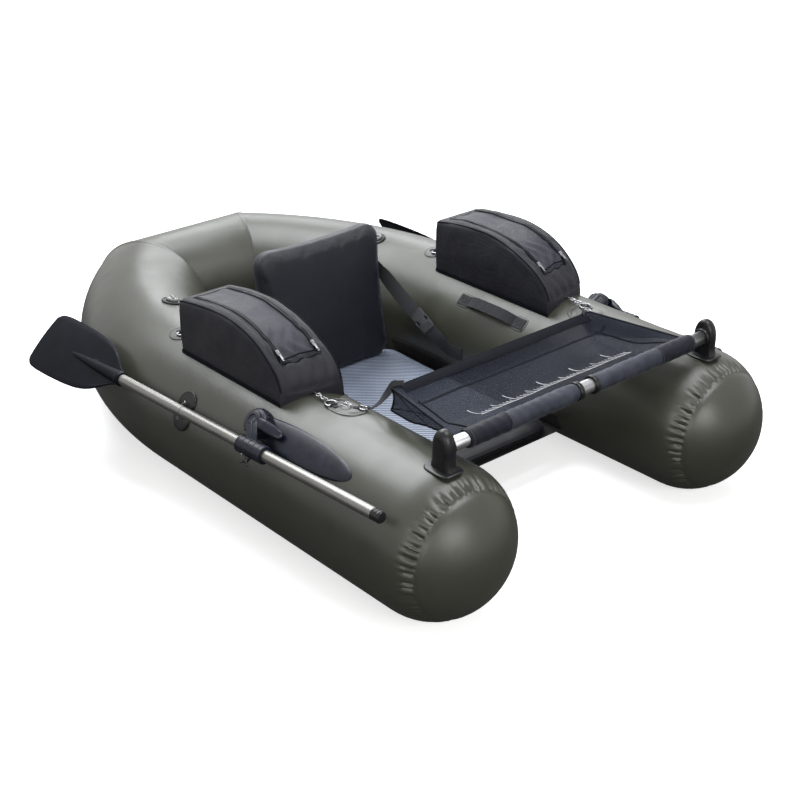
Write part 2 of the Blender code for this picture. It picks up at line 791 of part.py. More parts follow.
# Side bags
bag_material = make_material("bag_nylon", (0.022, 0.022, 0.025), 0.65)
lid_material = make_material("bag_lid_nylon", (0.04, 0.041, 0.045), 0.6)
zip_material = make_material("zip_black", (0.015, 0.015, 0.016), 0.5)
bag_centre_x = axis_offset - BAG_INSET


def bag_top(share):
    """Height of a bag's top above the crest of its tube, from share 0 at its front to 1 at its rear."""
    if share >= BAG_CREST_SHARE:
        back = (share - BAG_CREST_SHARE) / (1 - BAG_CREST_SHARE)
        return BAG_HEIGHT - BAG_TAIL_DROP * back ** 2
    fore = (BAG_CREST_SHARE - share) / BAG_CREST_SHARE
    rise = max(0.0, 1 - fore ** BAG_ARCH_POWER) ** (1 / BAG_ARCH_POWER)
    return BAG_NOSE_HEIGHT + (BAG_HEIGHT - BAG_NOSE_HEIGHT) * rise


def bag_shares(first, last, count):
    """Shares spaced closer together towards the steep front."""
    made = []
    for i in range(count + 1):
        step = i / count
        made.append(first + (last - first) * step ** 1.3)
    return made


def floor_points(low_x, high_x, clear):
    """Points across the top of a straight tube, with its facets moved out by the clearance."""
    facet = 2 * math.pi / TUBE_FACETS
    radius = TUBE_RADIUS + clear / math.cos(facet / 2)
    corners = []
    for i in range(TUBE_FACETS // 2 + 1):
        angle = math.pi - facet * i
        corners.append((radius * math.cos(angle), TUBE_RADIUS + radius * math.sin(angle)))
    points = []
    for (x0, z0), (x1, z1) in zip(corners, corners[1:]):
        if x0 <= low_x < x1:
            points.append((low_x, z0 + (z1 - z0) * (low_x - x0) / (x1 - x0)))
        if low_x < x1 < high_x:
            points.append((x1, z1))
        if x0 < high_x <= x1:
            points.append((high_x, z0 + (z1 - z0) * (high_x - x0) / (x1 - x0)))
    return points


def bag_section(side, share, inset, lower):
    """One outline across a bag. The inset draws its walls in and lower raises its curved floor."""
    crest = 2 * TUBE_RADIUS
    half = BAG_WIDTH / 2 - inset
    top = crest + bag_top(share) - inset
    y = place_y(bag_front_run + BAG_LENGTH * share)
    edge = BAG_EDGE_RADIUS - inset
    points = []
    for from_axis, z in floor_points(-BAG_INSET - half, half - BAG_INSET, GAP + lower):
        points.append((from_axis + BAG_INSET, z))
    for corner_x, start in ((half - edge, 0.0), (edge - half, math.pi / 2)):
        for i in range(3):
            angle = start + math.pi / 2 * i / 2
            points.append((corner_x + edge * math.cos(angle), top - edge + edge * math.sin(angle)))
    return [Vector((side * (bag_centre_x + x), y, z)) for x, z in points]


def lid_section(side, share, half, low, high):
    top = 2 * TUBE_RADIUS + bag_top(share)
    y = place_y(bag_front_run + BAG_LENGTH * share)
    corners = ((-half, low), (half, low), (half, high), (-half, high))
    return [Vector((side * (bag_centre_x + x), y, top + z)) for x, z in corners]


def add_bag(word, side):
    outer = [bag_section(side, share, 0.0, 0.0) for share in bag_shares(0.0, 1.0, BAG_STEPS)]
    end_share = BAG_SKIN / BAG_LENGTH
    inner_shares = bag_shares(end_share, 1 - end_share, BAG_STEPS)
    inner = [bag_section(side, share, BAG_SKIN, BAG_SKIN) for share in inner_shares]
    shell = combine(mesh_from_rings(outer), mesh_from_rings(inner), "DIFFERENCE")
    cut_front = LID_FRONT_SHARE - LID_FRONT_CLEARANCE / BAG_LENGTH
    cut_shares = bag_shares(cut_front, LID_REAR_SHARE + GAP / BAG_LENGTH, BAG_STEPS)
    cut_half = LID_WIDTH / 2 + GAP
    cutter = [lid_section(side, share, cut_half, -3 * BAG_SKIN, CUT_OVERRUN) for share in cut_shares]
    shell = combine(shell, mesh_from_rings(cutter), "DIFFERENCE")
    add_part(f"bag_body_{word}", shell, bag_material)
    lid_shares = bag_shares(LID_FRONT_SHARE, LID_REAR_SHARE, BAG_STEPS)
    lid = [lid_section(side, share, LID_WIDTH / 2, -BAG_SKIN, 0.0) for share in lid_shares]
    hinge = Vector((
        side * bag_centre_x, place_y(bag_front_run + BAG_LENGTH * LID_REAR_SHARE),
        2 * TUBE_RADIUS + bag_top(LID_REAR_SHARE),
    ))
    add_part(f"bag_lid_{word}", mesh_from_rings(lid), lid_material, origin=hinge)
    add_zip_pull(word, side, hinge)


def add_zip_pull(word, side, hinge):
    """Two sliders at the front ends of the zips, joined by a cord across the lid."""
    share = LID_FRONT_SHARE + ZIP_CORD_SETBACK / BAG_LENGTH
    step = ZIP_SLIDER_LENGTH / BAG_LENGTH
    slope = (bag_top(share + step) - bag_top(share)) / ZIP_SLIDER_LENGTH
    tilt = math.atan(slope)
    lift = GAP + ZIP_SLIDER_HEIGHT / 2
    normal = Vector((0, -math.sin(tilt), math.cos(tilt)))
    middle = Vector((
        side * bag_centre_x, place_y(bag_front_run + BAG_LENGTH * (share + step / 2)),
        2 * TUBE_RADIUS + (bag_top(share) + bag_top(share + step)) / 2,
    )) + normal * (lift + bulge_over(share, step))
    reach = LID_WIDTH / 2 - ZIP_SLIDER_WIDTH / 2
    across = Vector((1, 0, 0))
    mesh = tube_mesh(middle - across * reach, middle + across * reach, ZIP_CORD_RADIUS, None, RING_SIDES)
    turn = Matrix.Rotation(tilt, 4, "X")
    for end in (-1, 1):
        frame = Matrix.Translation(middle + across * (end * reach)) @ turn
        slider = box_mesh((ZIP_SLIDER_WIDTH, ZIP_SLIDER_LENGTH, ZIP_SLIDER_HEIGHT), frame)
        mesh = combine(mesh, slider, "UNION")
    add_part(f"zip_pull_{word}", mesh, zip_material, origin=hinge)


def bulge_over(share, step):
    """How far the lid's curve stands above the chord under a slider."""
    middle = bag_top(share + step / 2)
    return max(0.0, middle - (bag_top(share) + bag_top(share + step)) / 2)


# Rings and their patches
patch_material = make_material("patch_pvc", (0.085, 0.09, 0.076), 0.42)
ring_material = make_material("ring_steel", (0.32, 0.33, 0.34), 0.3, 1.0)
ring_height = TUBE_RADIUS + 2 * GAP + PATCH_THICKNESS + RING_WIRE_RADIUS


def loop_mesh(frame_on_pad):
    """A webbing bridge over a ring's straight bar, with its feet set into the patch."""
    inside = RING_WIRE_RADIUS + RUNNING_CLEARANCE
    outside = inside + LOOP_THICKNESS
    foot = -RING_WIRE_RADIUS - GAP - PATCH_THICKNESS / 2
    outline = [(-outside, foot), (-outside, 0.0)]
    steps = 6
    for i in range(1, steps):
        angle = math.pi * (1 - i / steps)
        outline.append((outside * math.cos(angle), outside * math.sin(angle)))
    outline += [(outside, 0.0), (outside, foot), (inside, foot), (inside, 0.0)]
    for i in range(1, steps):
        angle = math.pi * i / steps
        outline.append((inside * math.cos(angle), inside * math.sin(angle)))
    outline += [(-inside, 0.0), (-inside, foot)]
    rings = []
    for end in (-0.5, 0.5):
        rings.append([frame_on_pad @ Vector((x, end * LOOP_WIDTH, z)) for x, z in outline])
    return mesh_from_rings(rings)


def ring_outline(frame, reach_sign):
    """A D-ring lying in the frame's XY plane: its straight bar on Y, its bow towards X."""
    half = RING_WIDTH / 2
    points = [frame @ Vector((0, -half, 0)), frame @ Vector((0, 0, 0)), frame @ Vector((0, half, 0))]
    for i in range(RING_STEPS + 1):
        angle = math.pi / 2 - math.pi * i / RING_STEPS
        points.append(frame @ Vector((
            reach_sign * (RING_WIRE_RADIUS + RING_DEPTH * math.cos(angle)), half * math.sin(angle), 0
        )))
    return points


def add_ring(name, frame, reach_sign):
    normal = frame.to_3x3() @ Vector((0, 0, 1))
    mesh = wire_mesh(ring_outline(frame, reach_sign), normal, RING_WIRE_RADIUS, closed=True)
    add_part(name, mesh, ring_material, origin=frame.translation)


def bag_ring_frame(side):
    """The frame of the ring near the rear of the front patch, a little outboard of its middle."""
    run = front_patch_run + BAG_RING_REAR_SHARE * FRONT_PATCH_LENGTH / 2
    spread = RING_SPREAD_SHARE * FRONT_PATCH_WIDTH / 2 / TUBE_RADIUS
    return hull_frame(side, run, FRONT_PATCH_ANGLE - spread, ring_height)


def apron_ring_frame(side):
    """The frame of the ring near the front of the patch, turned to point at the apron's corner."""
    run = front_patch_run - APRON_RING_FRONT_SHARE * FRONT_PATCH_LENGTH / 2
    spread = RING_SPREAD_SHARE * FRONT_PATCH_WIDTH / 2 / TUBE_RADIUS
    frame = hull_frame(side, run, FRONT_PATCH_ANGLE + spread, ring_height)
    return frame @ Matrix.Rotation(-side * APRON_RING_TURN, 4, "Z")


def add_front_rings(word, side):
    patch = pad_on_hull(
        side, front_patch_run, FRONT_PATCH_ANGLE, FRONT_PATCH_LENGTH, FRONT_PATCH_WIDTH, PATCH_THICKNESS,
        segments=20, rows=3,
    )
    bag_frame = bag_ring_frame(side)
    apron_frame = apron_ring_frame(side)
    for frame in (bag_frame, apron_frame):
        patch = combine(patch, loop_mesh(frame), "UNION")
    add_part(f"front_ring_patch_{word}", patch, patch_material)
    add_ring(f"bag_ring_front_{word}", bag_frame, 1)
    add_ring(f"apron_ring_{word}", apron_frame, -1)
    add_bag_hook(word, side, bag_frame)


def add_bag_hook(word, side, frame):
    """A bent wire hook from the bag's front end over the bow of its ring."""
    bow = RING_WIRE_RADIUS + RING_DEPTH
    clear = RING_WIRE_RADIUS + HOOK_WIRE_RADIUS + GAP
    bag_reach = FRONT_PATCH_LEAD - BAG_RING_REAR_SHARE * FRONT_PATCH_LENGTH / 2 - GAP
    near = bow - clear
    far = bow + clear
    outline = ((near, -RING_WIRE_RADIUS), (near, clear), (far, clear), (bag_reach, clear))
    points = [frame @ Vector((x, 0, z)) for x, z in outline]
    normal = frame.to_3x3() @ Vector((0, 1, 0))
    add_part(f"bag_hook_{word}", wire_mesh(points, normal, HOOK_WIRE_RADIUS, closed=False), ring_material)


def add_rear_ring(word, side):
    angle = REAR_PATCH_ANGLES[word]
    patch = pad_on_hull(
        side, rear_patch_run, angle, REAR_PATCH_LENGTH, REAR_PATCH_WIDTH, PATCH_THICKNESS,
        segments=20, rows=2,
    )
    frame = hull_frame(side, rear_patch_run, angle, ring_height)
    patch = combine(patch, loop_mesh(frame), "UNION")
    add_part(f"rear_ring_patch_{word}", patch, patch_material)
    add_ring(f"bag_ring_rear_{word}", frame, -1)


# Crossbar and its holders
bar_material = make_material("bar_aluminium", (0.62, 0.63, 0.64), 0.3, 1.0)
holder_material = make_material("holder_rubber", (0.012, 0.012, 0.013), 0.45)
sleeve_material = make_material("sleeve_cloth", (0.06, 0.068, 0.085), 0.6)
apron_material = make_material("apron_mesh", (0.03, 0.034, 0.045), 0.75)
bar_centre = Vector((0, place_y(BAR_RUN), BAR_HEIGHT))
across_boat = Vector((1, 0, 0))


def bar_piece(name, start_x, end_x, radius, inner_radius, material, origin=None, sides=20):
    start = bar_centre + across_boat * start_x
    end = bar_centre + across_boat * end_x
    add_part(name, tube_mesh(start, end, radius, inner_radius, sides), material, origin=origin)


def add_crossbar():
    bar_piece("crossbar", -bar_half, bar_half, BAR_RADIUS, BAR_RADIUS - BAR_WALL, bar_material)
    bore = BAR_RADIUS + RUNNING_CLEARANCE
    for word, side in SIDES.items():
        ring_start = BAR_RING_PLACE - BAR_RING_WIDTH / 2
        ring_end = BAR_RING_PLACE + BAR_RING_WIDTH / 2
        radius = BAR_RADIUS + BAR_RING_THICKNESS
        bar_piece(f"bar_ring_{word}", side * ring_start, side * ring_end, radius, bore, holder_material)
        sleeve_start = ring_end + SLEEVE_SETBACK
        sleeve_end = holder_inner_x - SLEEVE_END_MARGIN
        radius = BAR_RADIUS + SLEEVE_THICKNESS
        bar_piece(
            f"apron_sleeve_{word}", side * sleeve_start, side * sleeve_end, radius, bore,
            sleeve_material, origin=bar_centre,
        )


def add_bar_holder(word, side):
    base = pad_on_hull(
        side, BAR_RUN, math.pi / 2, HOLDER_BASE_LENGTH, HOLDER_BASE_WIDTH, HOLDER_BASE_THICKNESS,
        segments=20, rows=2,
    )
    foot = 2 * TUBE_RADIUS + GAP + HOLDER_BASE_THICKNESS / 2
    outline = [(-HOLDER_DEPTH / 2, foot)]
    steps = 10
    for i in range(steps + 1):
        angle = math.pi * (1 - i / steps)
        outline.append((HOLDER_DEPTH / 2 * math.cos(angle), BAR_HEIGHT + HOLDER_CROWN * math.sin(angle)))
    outline.append((HOLDER_DEPTH / 2, foot))
    rings = []
    for x in (holder_inner_x, holder_inner_x + HOLDER_WIDTH):
        rings.append([Vector((side * x, bar_centre.y + y, z)) for y, z in outline])
    ear = mesh_from_rings(rings)
    holder = combine(base, ear, "UNION")
    socket_start = bar_centre + across_boat * (side * (holder_inner_x - CUT_OVERRUN))
    socket_end = bar_centre + across_boat * (side * (bar_half + GAP))
    socket = tube_mesh(socket_start, socket_end, BAR_RADIUS + GAP, None, 20)
    add_part(f"bar_holder_{word}", combine(holder, socket, "DIFFERENCE"), holder_material)


# Apron, a shallow cloth tray behind the crossbar
def smooth_step(share):
    clipped = min(1.0, max(0.0, share))
    return clipped * clipped * (3 - 2 * clipped)


def apron_point(u, v):
    """A point of the apron's mid surface. u runs from -1 to 1 across it and v from 0 to 1 back along it."""
    width = 2 * (holder_inner_x - APRON_SIDE_MARGIN - APRON_TAPER * v)
    y = apron_front_y + apron_depth * v
    floor = -APRON_SAG * smooth_step(v * 2.5)
    side_start = 1 - 2 * APRON_SIDE_WALL / width
    side_rise = smooth_step((abs(u) - side_start) / (1 - side_start))
    rear_start = 1 - APRON_REAR_WALL / apron_depth
    rear_rise = smooth_step((v - rear_start) / (1 - rear_start))
    rise = max(side_rise, rear_rise)
    return bar_centre + Vector((u * width / 2, y, floor * (1 - rise)))


def add_apron():
    bm = bmesh.new()
    layers = []
    for lift in (-APRON_SKIN / 2, APRON_SKIN / 2):
        rows = []
        for j in range(APRON_ROWS + 1):
            row = []
            for i in range(APRON_COLUMNS + 1):
                point = apron_point(2 * i / APRON_COLUMNS - 1, j / APRON_ROWS)
                row.append(bm.verts.new(point + Vector((0, 0, lift))))
            rows.append(row)
        layers.append(rows)
        for j in range(APRON_ROWS):
            for i in range(APRON_COLUMNS):
                bm.faces.new((rows[j][i], rows[j][i + 1], rows[j + 1][i + 1], rows[j + 1][i]))
    low, high = layers
    rims = []
    for rows in (low, high):
        rim = rows[0] + [row[-1] for row in rows[1:]]
        rim += list(reversed(rows[-1][:-1])) + [row[0] for row in reversed(rows[1:-1])]
        rims.append(rim)
    for i in range(len(rims[0])):
        j = (i + 1) % len(rims[0])
        bm.faces.new((rims[0][i], rims[0][j], rims[1][j], rims[1][i]))
    add_part("apron", finish_bmesh(bm), apron_material, origin=bar_centre)


def add_apron_strap(word, side):
    """Webbing from the apron's rear corner to a narrow hook over the bow of the apron's ring."""
    ring_frame = apron_ring_frame(side)
    bow_reach = RING_WIRE_RADIUS + RING_DEPTH
    bow = ring_frame @ Vector((-bow_reach, 0, 0))
    corner = apron_point(side * APRON_STRAP_PLACE_SHARE, 1.0)
    corner.z += APRON_SKIN / 2 + GAP + STRAP_THICKNESS / 2
    towards = Vector((bow.x - corner.x, bow.y - corner.y, 0)).normalized()
    level_across = Vector((-towards.y, towards.x, 0))
    over = RING_WIRE_RADIUS + 2 * RUNNING_CLEARANCE + STRAP_THICKNESS / 2
    points = [corner - towards * APRON_STRAP_LAP, corner + towards * APRON_STRAP_OVERHANG]
    inside_bow = over - bow_reach
    for x, z in ((-bow_reach - over, over), (inside_bow, over), (inside_bow, -RING_WIRE_RADIUS)):
        points.append(ring_frame @ Vector((x, 0, z)))
    ring_across = ring_frame.to_3x3() @ Vector((0, 1, 0))
    if ring_across.dot(level_across) < 0:
        ring_across = -ring_across
    across = [level_across, level_across, ring_across, ring_across, ring_across]
    widths = [APRON_STRAP_WIDTH, APRON_STRAP_WIDTH, APRON_HOOK_WIDTH, APRON_HOOK_WIDTH, APRON_HOOK_WIDTH]
    mesh = strip_mesh(points, across, widths, STRAP_THICKNESS)
    add_part(f"apron_strap_{word}", mesh, strap_material, origin=bar_centre)


# Carry handles
def add_carry_handle(word, side):
    frame_radius = TUBE_RADIUS + GAP + HANDLE_THICKNESS / 2
    half = HANDLE_LENGTH / 2
    span = half - HANDLE_PAD_LENGTH
    places = [(-half, 0.0)]
    for i in range(HANDLE_STEPS + 1):
        share = 2 * i / HANDLE_STEPS - 1
        places.append((share * span, HANDLE_RISE * (1 - share ** 4)))
    places.append((half, 0.0))
    points = []
    for along, rise in places:
        points.append(hull_frame(side, HANDLE_RUN + along, HANDLE_ANGLE, frame_radius + rise).translation)
    across = hull_frame(side, HANDLE_RUN, HANDLE_ANGLE, frame_radius).to_3x3() @ Vector((0, 1, 0))
    mesh = strip_mesh(points, across, HANDLE_WIDTH, HANDLE_THICKNESS)
    add_part(f"carry_handle_{word}", mesh, strap_material)


# Valves
valve_material = make_material("valve_plastic", (0.03, 0.032, 0.03), 0.4)
valve_cap_material = make_material("valve_cap_plastic", (0.16, 0.17, 0.16), 0.4)


def add_valve(word, side):
    flange = pad_on_hull(
        side, VALVE_RUN, VALVE_ANGLE, VALVE_FLANGE_WIDTH, VALVE_FLANGE_WIDTH, VALVE_FLANGE_THICKNESS,
        segments=16, rows=2,
    )
    seat_radius = TUBE_RADIUS + GAP + VALVE_FLANGE_THICKNESS
    add_part(f"valve_body_{word}", flange, valve_material)
    frame = hull_frame(side, VALVE_RUN, VALVE_ANGLE, seat_radius + GAP)
    cap = round_mesh(VALVE_CAP_RADIUS, VALVE_CAP_HEIGHT, frame, sides=16, edge=VALVE_CAP_HEIGHT / 4)
    grip_size = (2 * VALVE_CAP_RADIUS * 0.7, VALVE_GRIP_WIDTH, 2 * VALVE_GRIP_HEIGHT)
    grip = box_mesh(grip_size, frame @ Matrix.Translation((0, 0, VALVE_CAP_HEIGHT)))
    add_part(
        f"valve_cap_{word}", combine(cap, grip, "UNION"), valve_cap_material, origin=frame.translation
    )


# Oarlocks
def lowered(word, side):
    """The turn round a tube's axis that lowers an oarlock and its oar to their place."""
    axis_point = Vector((side * axis_offset, 0, TUBE_RADIUS))
    turn = Matrix.Rotation(side * OARLOCK_DROPS[word], 4, "Y")
    return Matrix.Translation(axis_point) @ turn @ Matrix.Translation(-axis_point)


def add_lowered(name, mesh, material, word, side, origin=None):
    place = lowered(word, side)
    mesh.transform(place)
    add_part(name, mesh, material, origin=None if origin is None else place @ origin)


oarlock_material = make_material("oarlock_rubber", (0.018, 0.02, 0.035), 0.42)
yoke_material = make_material("yoke_plastic", (0.025, 0.028, 0.04), 0.4)
boss_top = TUBE_RADIUS + GAP + BOSS_HEIGHT


def add_oarlock(word, side):
    centre_run = OARLOCK_RUN + OARLOCK_BASE_REAR - OARLOCK_BASE_LENGTH / 2

    def height_at(share):
        rear_share = (share + 1) / 2
        return OARLOCK_TIP_HEIGHT + (OARLOCK_TAIL_HEIGHT - OARLOCK_TIP_HEIGHT) * smooth_step(rear_share)

    base = pad_on_hull(
        side, centre_run, OARLOCK_ANGLE, OARLOCK_BASE_LENGTH, OARLOCK_BASE_WIDTH, OARLOCK_TAIL_HEIGHT,
        height_at=height_at, segments=24, rows=3,
    )
    foot = hull_frame(side, OARLOCK_RUN, OARLOCK_ANGLE, TUBE_RADIUS + GAP + OARLOCK_TIP_HEIGHT)
    boss = round_mesh(BOSS_RADIUS, BOSS_HEIGHT - OARLOCK_TIP_HEIGHT, foot, sides=24, edge=BOSS_EDGE)
    base = combine(base, boss, "UNION")
    hole_frame = hull_frame(side, OARLOCK_RUN, OARLOCK_ANGLE, boss_top - PIN_LENGTH - GAP)
    hole = round_mesh(PIN_RADIUS + RUNNING_CLEARANCE, PIN_LENGTH + CUT_OVERRUN, hole_frame, sides=20)
    add_lowered(f"oarlock_base_{word}", combine(base, hole, "DIFFERENCE"), oarlock_material, word, side)


def oar_frame(side):
    """X runs back along the stowed oar, Y lies across its blade and the origin is at its collar."""
    seat = hull_frame(side, OARLOCK_RUN - OAR_COLLAR_LEAD, OAR_ANGLE, TUBE_RADIUS + OAR_STANDOFF)
    along = Vector((
        side * math.sin(OAR_YAW), math.cos(OAR_YAW) * math.cos(OAR_PITCH), -math.sin(OAR_PITCH)
    )).normalized()
    across = Vector((-side * math.sin(BLADE_ROLL), 0, math.cos(BLADE_ROLL)))
    across = (across - along * across.dot(along)).normalized()
    face = along.cross(across)
    frame = Matrix((along, across, face)).transposed().to_4x4()
    frame.translation = seat.translation
    return frame


def add_yoke(word, side):
    """The swivelling yoke: a pin in the boss, a cap, an arm and a collar round the shaft."""
    frame = hull_frame(side, OARLOCK_RUN, OARLOCK_ANGLE, boss_top)
    origin = frame.translation.copy()
    pin_frame = frame @ Matrix.Translation((0, 0, -PIN_LENGTH))
    yoke = round_mesh(PIN_RADIUS, PIN_LENGTH + YOKE_THICKNESS / 2, pin_frame, sides=20)
    cap_frame = frame @ Matrix.Translation((0, 0, RUNNING_CLEARANCE))
    cap = round_mesh(YOKE_CAP_RADIUS, YOKE_THICKNESS, cap_frame, sides=24, edge=YOKE_THICKNESS / 4)
    yoke = combine(yoke, cap, "UNION")
    oar = oar_frame(side)
    collar_radius = SHAFT_RADIUS + RUNNING_CLEARANCE + COLLAR_WALL
    start = oar @ Vector((-COLLAR_LENGTH / 2, 0, 0))
    end = oar @ Vector((COLLAR_LENGTH / 2, 0, 0))
    collar = tube_mesh(start, end, collar_radius, None, SHAFT_SIDES + 4)
    to_collar = frame.inverted() @ oar.translation
    arm_reach = math.hypot(to_collar.x, to_collar.y) - COLLAR_WALL
    turn = Matrix.Rotation(math.atan2(to_collar.y, to_collar.x), 4, "Z")
    arm_centre = Matrix.Translation((arm_reach / 2, 0, RUNNING_CLEARANCE + YOKE_THICKNESS / 2))
    arm = box_mesh((arm_reach, YOKE_ARM_WIDTH, YOKE_ARM_THICKNESS), frame @ turn @ arm_centre)
    yoke = combine(yoke, arm, "UNION")
    yoke = combine(yoke, collar, "UNION")
    bore_start = oar @ Vector((-COLLAR_LENGTH / 2 - CUT_OVERRUN, 0, 0))
    bore_end = oar @ Vector((COLLAR_LENGTH / 2 + CUT_OVERRUN, 0, 0))
    bore = tube_mesh(bore_start, bore_end, SHAFT_RADIUS + RUNNING_CLEARANCE, None, SHAFT_SIDES)
    add_lowered(f"oar_yoke_{word}", combine(yoke, bore, "DIFFERENCE"), yoke_material, word, side, origin)
    add_wing_bolt(word, side, oar, collar_radius)


def add_wing_bolt(word, side, oar, collar_radius):
    down = Vector((side * math.sin(OARLOCK_ANGLE), 0, -math.cos(OARLOCK_ANGLE)))
    along = oar.to_3x3() @ Vector((1, 0, 0))
    down = (down - along * down.dot(along)).normalized()
    frame = Matrix((along, down.cross(along), down)).transposed().to_4x4()
    frame.translation = oar.translation + down * (collar_radius + GAP)
    bolt = round_mesh(WING_BOLT_RADIUS, WING_BOLT_LENGTH, frame, sides=16)
    wing_frame = frame @ Matrix.Translation((0, 0, WING_BOLT_LENGTH))
    wing = box_mesh((WING_SPAN, WING_THICKNESS, WING_HEIGHT), wing_frame)
    add_lowered(
        f"wing_bolt_{word}", combine(bolt, wing, "UNION"), holder_material, word, side, frame.translation
    )


# Oars
blade_material = make_material("blade_plastic", (0.012, 0.014, 0.024), 0.4)


def add_oar(word, side):
    frame = oar_frame(side)
    origin = frame.translation.copy()
    front_run = OAR_SETBACKS[word] - SHAFT_FRONT_LENGTH
    rear_run = OAR_SETBACKS[word] + SHAFT_REAR_LENGTH
    front = frame @ Vector((front_run, 0, 0))
    rear = frame @ Vector((rear_run, 0, 0))
    shaft = tube_mesh(front, rear, SHAFT_RADIUS, SHAFT_RADIUS - SHAFT_WALL, SHAFT_SIDES)
    add_lowered(f"oar_shaft_{word}", shaft, bar_material, word, side, origin)
    grip_end = frame @ Vector((front_run - GAP - GRIP_LENGTH, 0, 0))
    grip_start = frame @ Vector((front_run - GAP, 0, 0))
    grip = tube_mesh(grip_end, grip_start, SHAFT_RADIUS, None, SHAFT_SIDES)
    add_lowered(f"oar_grip_{word}", grip, holder_material, word, side, origin)
    rings = []
    for run_share, width_share in BLADE_WIDTH_SHARES:
        run = rear_run + GAP + BLADE_LENGTH * run_share
        half_width = BLADE_WIDTH / 2 * width_share
        spine = BLADE_SOCKET_RADIUS * math.sqrt(max(0.0, 1 - run_share / SPINE_LENGTH_SHARE))
        rings.append(blade_section(frame, run, half_width, max(spine, BLADE_THICKNESS / 2)))
    add_lowered(f"oar_blade_{word}", mesh_from_rings(rings), blade_material, word, side, origin)


def blade_section(frame, run, half_width, spine):
    """A thin plate with a round spine along its middle, as an outline across the blade."""
    edge = BLADE_THICKNESS / 2
    inner = min(spine, half_width * 0.98)
    upper = []
    for i in range(1, 6):
        angle = math.pi * i / 6
        upper.append((inner * math.cos(angle), max(edge, spine * math.sin(angle))))
    outline = [(half_width, edge / 2), (inner, edge), *upper, (-inner, edge), (-half_width, edge / 2)]
    outline += [(x, -z) for x, z in reversed(outline)]
    return [frame @ Vector((run, x, z)) for x, z in outline]


def add_keeper(word, side):
    pad = pad_on_hull(
        side, KEEPER_RUN, KEEPER_ANGLE, KEEPER_LENGTH, KEEPER_WIDTH, KEEPER_THICKNESS, segments=16
    )
    add_lowered(f"keeper_patch_{word}", pad, holder_material, word, side)


add_rear_tube()
add_seat_panel()
backrest_foot = add_backrest(add_seat_cushion())
add_crossbar()
add_apron()
for side_word, side_sign in SIDES.items():
    add_side_tube(side_word, side_sign)
    add_nose_cap(side_word, side_sign)
    add_backrest_strap(side_word, side_sign, backrest_foot)
    add_bag(side_word, side_sign)
    add_front_rings(side_word, side_sign)
    add_rear_ring(side_word, side_sign)
    add_bar_holder(side_word, side_sign)
    add_apron_strap(side_word, side_sign)
    add_carry_handle(side_word, side_sign)
    add_valve(side_word, side_sign)
    add_oarlock(side_word, side_sign)
    add_yoke(side_word, side_sign)
    add_oar(side_word, side_sign)
    add_keeper(side_word, side_sign)
print("parts:", sum(1 for item in bpy.data.objects if item.type == "MESH"))
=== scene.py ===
import json
import math

import bmesh
import bpy
import numpy as np
from mathutils import Matrix, Vector
from mathutils.noise import noise


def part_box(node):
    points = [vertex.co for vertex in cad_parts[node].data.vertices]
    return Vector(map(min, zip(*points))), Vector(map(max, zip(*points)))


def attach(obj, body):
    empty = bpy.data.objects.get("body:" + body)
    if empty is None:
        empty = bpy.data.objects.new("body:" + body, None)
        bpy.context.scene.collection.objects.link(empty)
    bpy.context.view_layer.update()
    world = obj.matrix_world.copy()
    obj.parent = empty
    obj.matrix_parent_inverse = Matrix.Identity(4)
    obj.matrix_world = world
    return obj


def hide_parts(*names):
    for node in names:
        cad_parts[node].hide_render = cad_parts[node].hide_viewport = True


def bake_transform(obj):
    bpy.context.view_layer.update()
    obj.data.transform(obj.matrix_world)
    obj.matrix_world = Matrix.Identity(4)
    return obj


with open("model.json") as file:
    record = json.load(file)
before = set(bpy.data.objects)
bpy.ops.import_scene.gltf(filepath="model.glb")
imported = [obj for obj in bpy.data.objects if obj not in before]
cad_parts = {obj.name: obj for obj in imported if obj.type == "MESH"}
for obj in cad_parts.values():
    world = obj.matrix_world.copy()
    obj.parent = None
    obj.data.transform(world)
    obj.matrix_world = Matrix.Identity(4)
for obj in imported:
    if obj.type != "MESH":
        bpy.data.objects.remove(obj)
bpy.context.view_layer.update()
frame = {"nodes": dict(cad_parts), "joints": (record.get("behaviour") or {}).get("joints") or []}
nodes = frame["nodes"]
sides = {"right": -1, "left": 1}
xAxis, yAxis, zAxis = Vector((1, 0, 0)), Vector((0, 1, 0)), Vector((0, 0, 1))
print("scene: float tube, frame loaded")


# Small helpers for meshes

def circleOf(count):  # the angles of a ring of points
    return [2 * math.pi * i / count for i in range(count)]


def frameOf(x, y, z, origin):  # a placement from its three axes and its origin
    place = Matrix((x, y, z)).transposed().to_4x4()
    place.translation = origin
    return place


def moved(place, x, y, z):
    return place @ Matrix.Translation((x, y, z))


def ellipse(centre, first, second, a, b, count):
    return [centre + first * (a * math.cos(t)) + second * (b * math.sin(t)) for t in circleOf(count)]


def loft(rings, loop=False, caps=True):  # skin over rings of equal count
    count = len(rings[0])
    rows = len(rings)
    verts = [Vector(p) for ring in rings for p in ring]
    faces = []
    for r in range(rows if loop else rows - 1):
        s = (r + 1) % rows
        for i in range(count):
            j = (i + 1) % count
            faces.append((r * count + i, r * count + j, s * count + j, s * count + i))
    if caps and not loop:
        faces.append(tuple(reversed(range(count))))
        faces.append(tuple(range((rows - 1) * count, rows * count)))
    return verts, faces


def gridSheet(rows):  # an open sheet from rows of points
    count = len(rows[0])
    verts = [Vector(p) for row in rows for p in row]
    faces = []
    for r in range(len(rows) - 1):
        for i in range(count - 1):
            a = r * count + i
            faces.append((a, a + 1, a + count + 1, a + count))
    return verts, faces


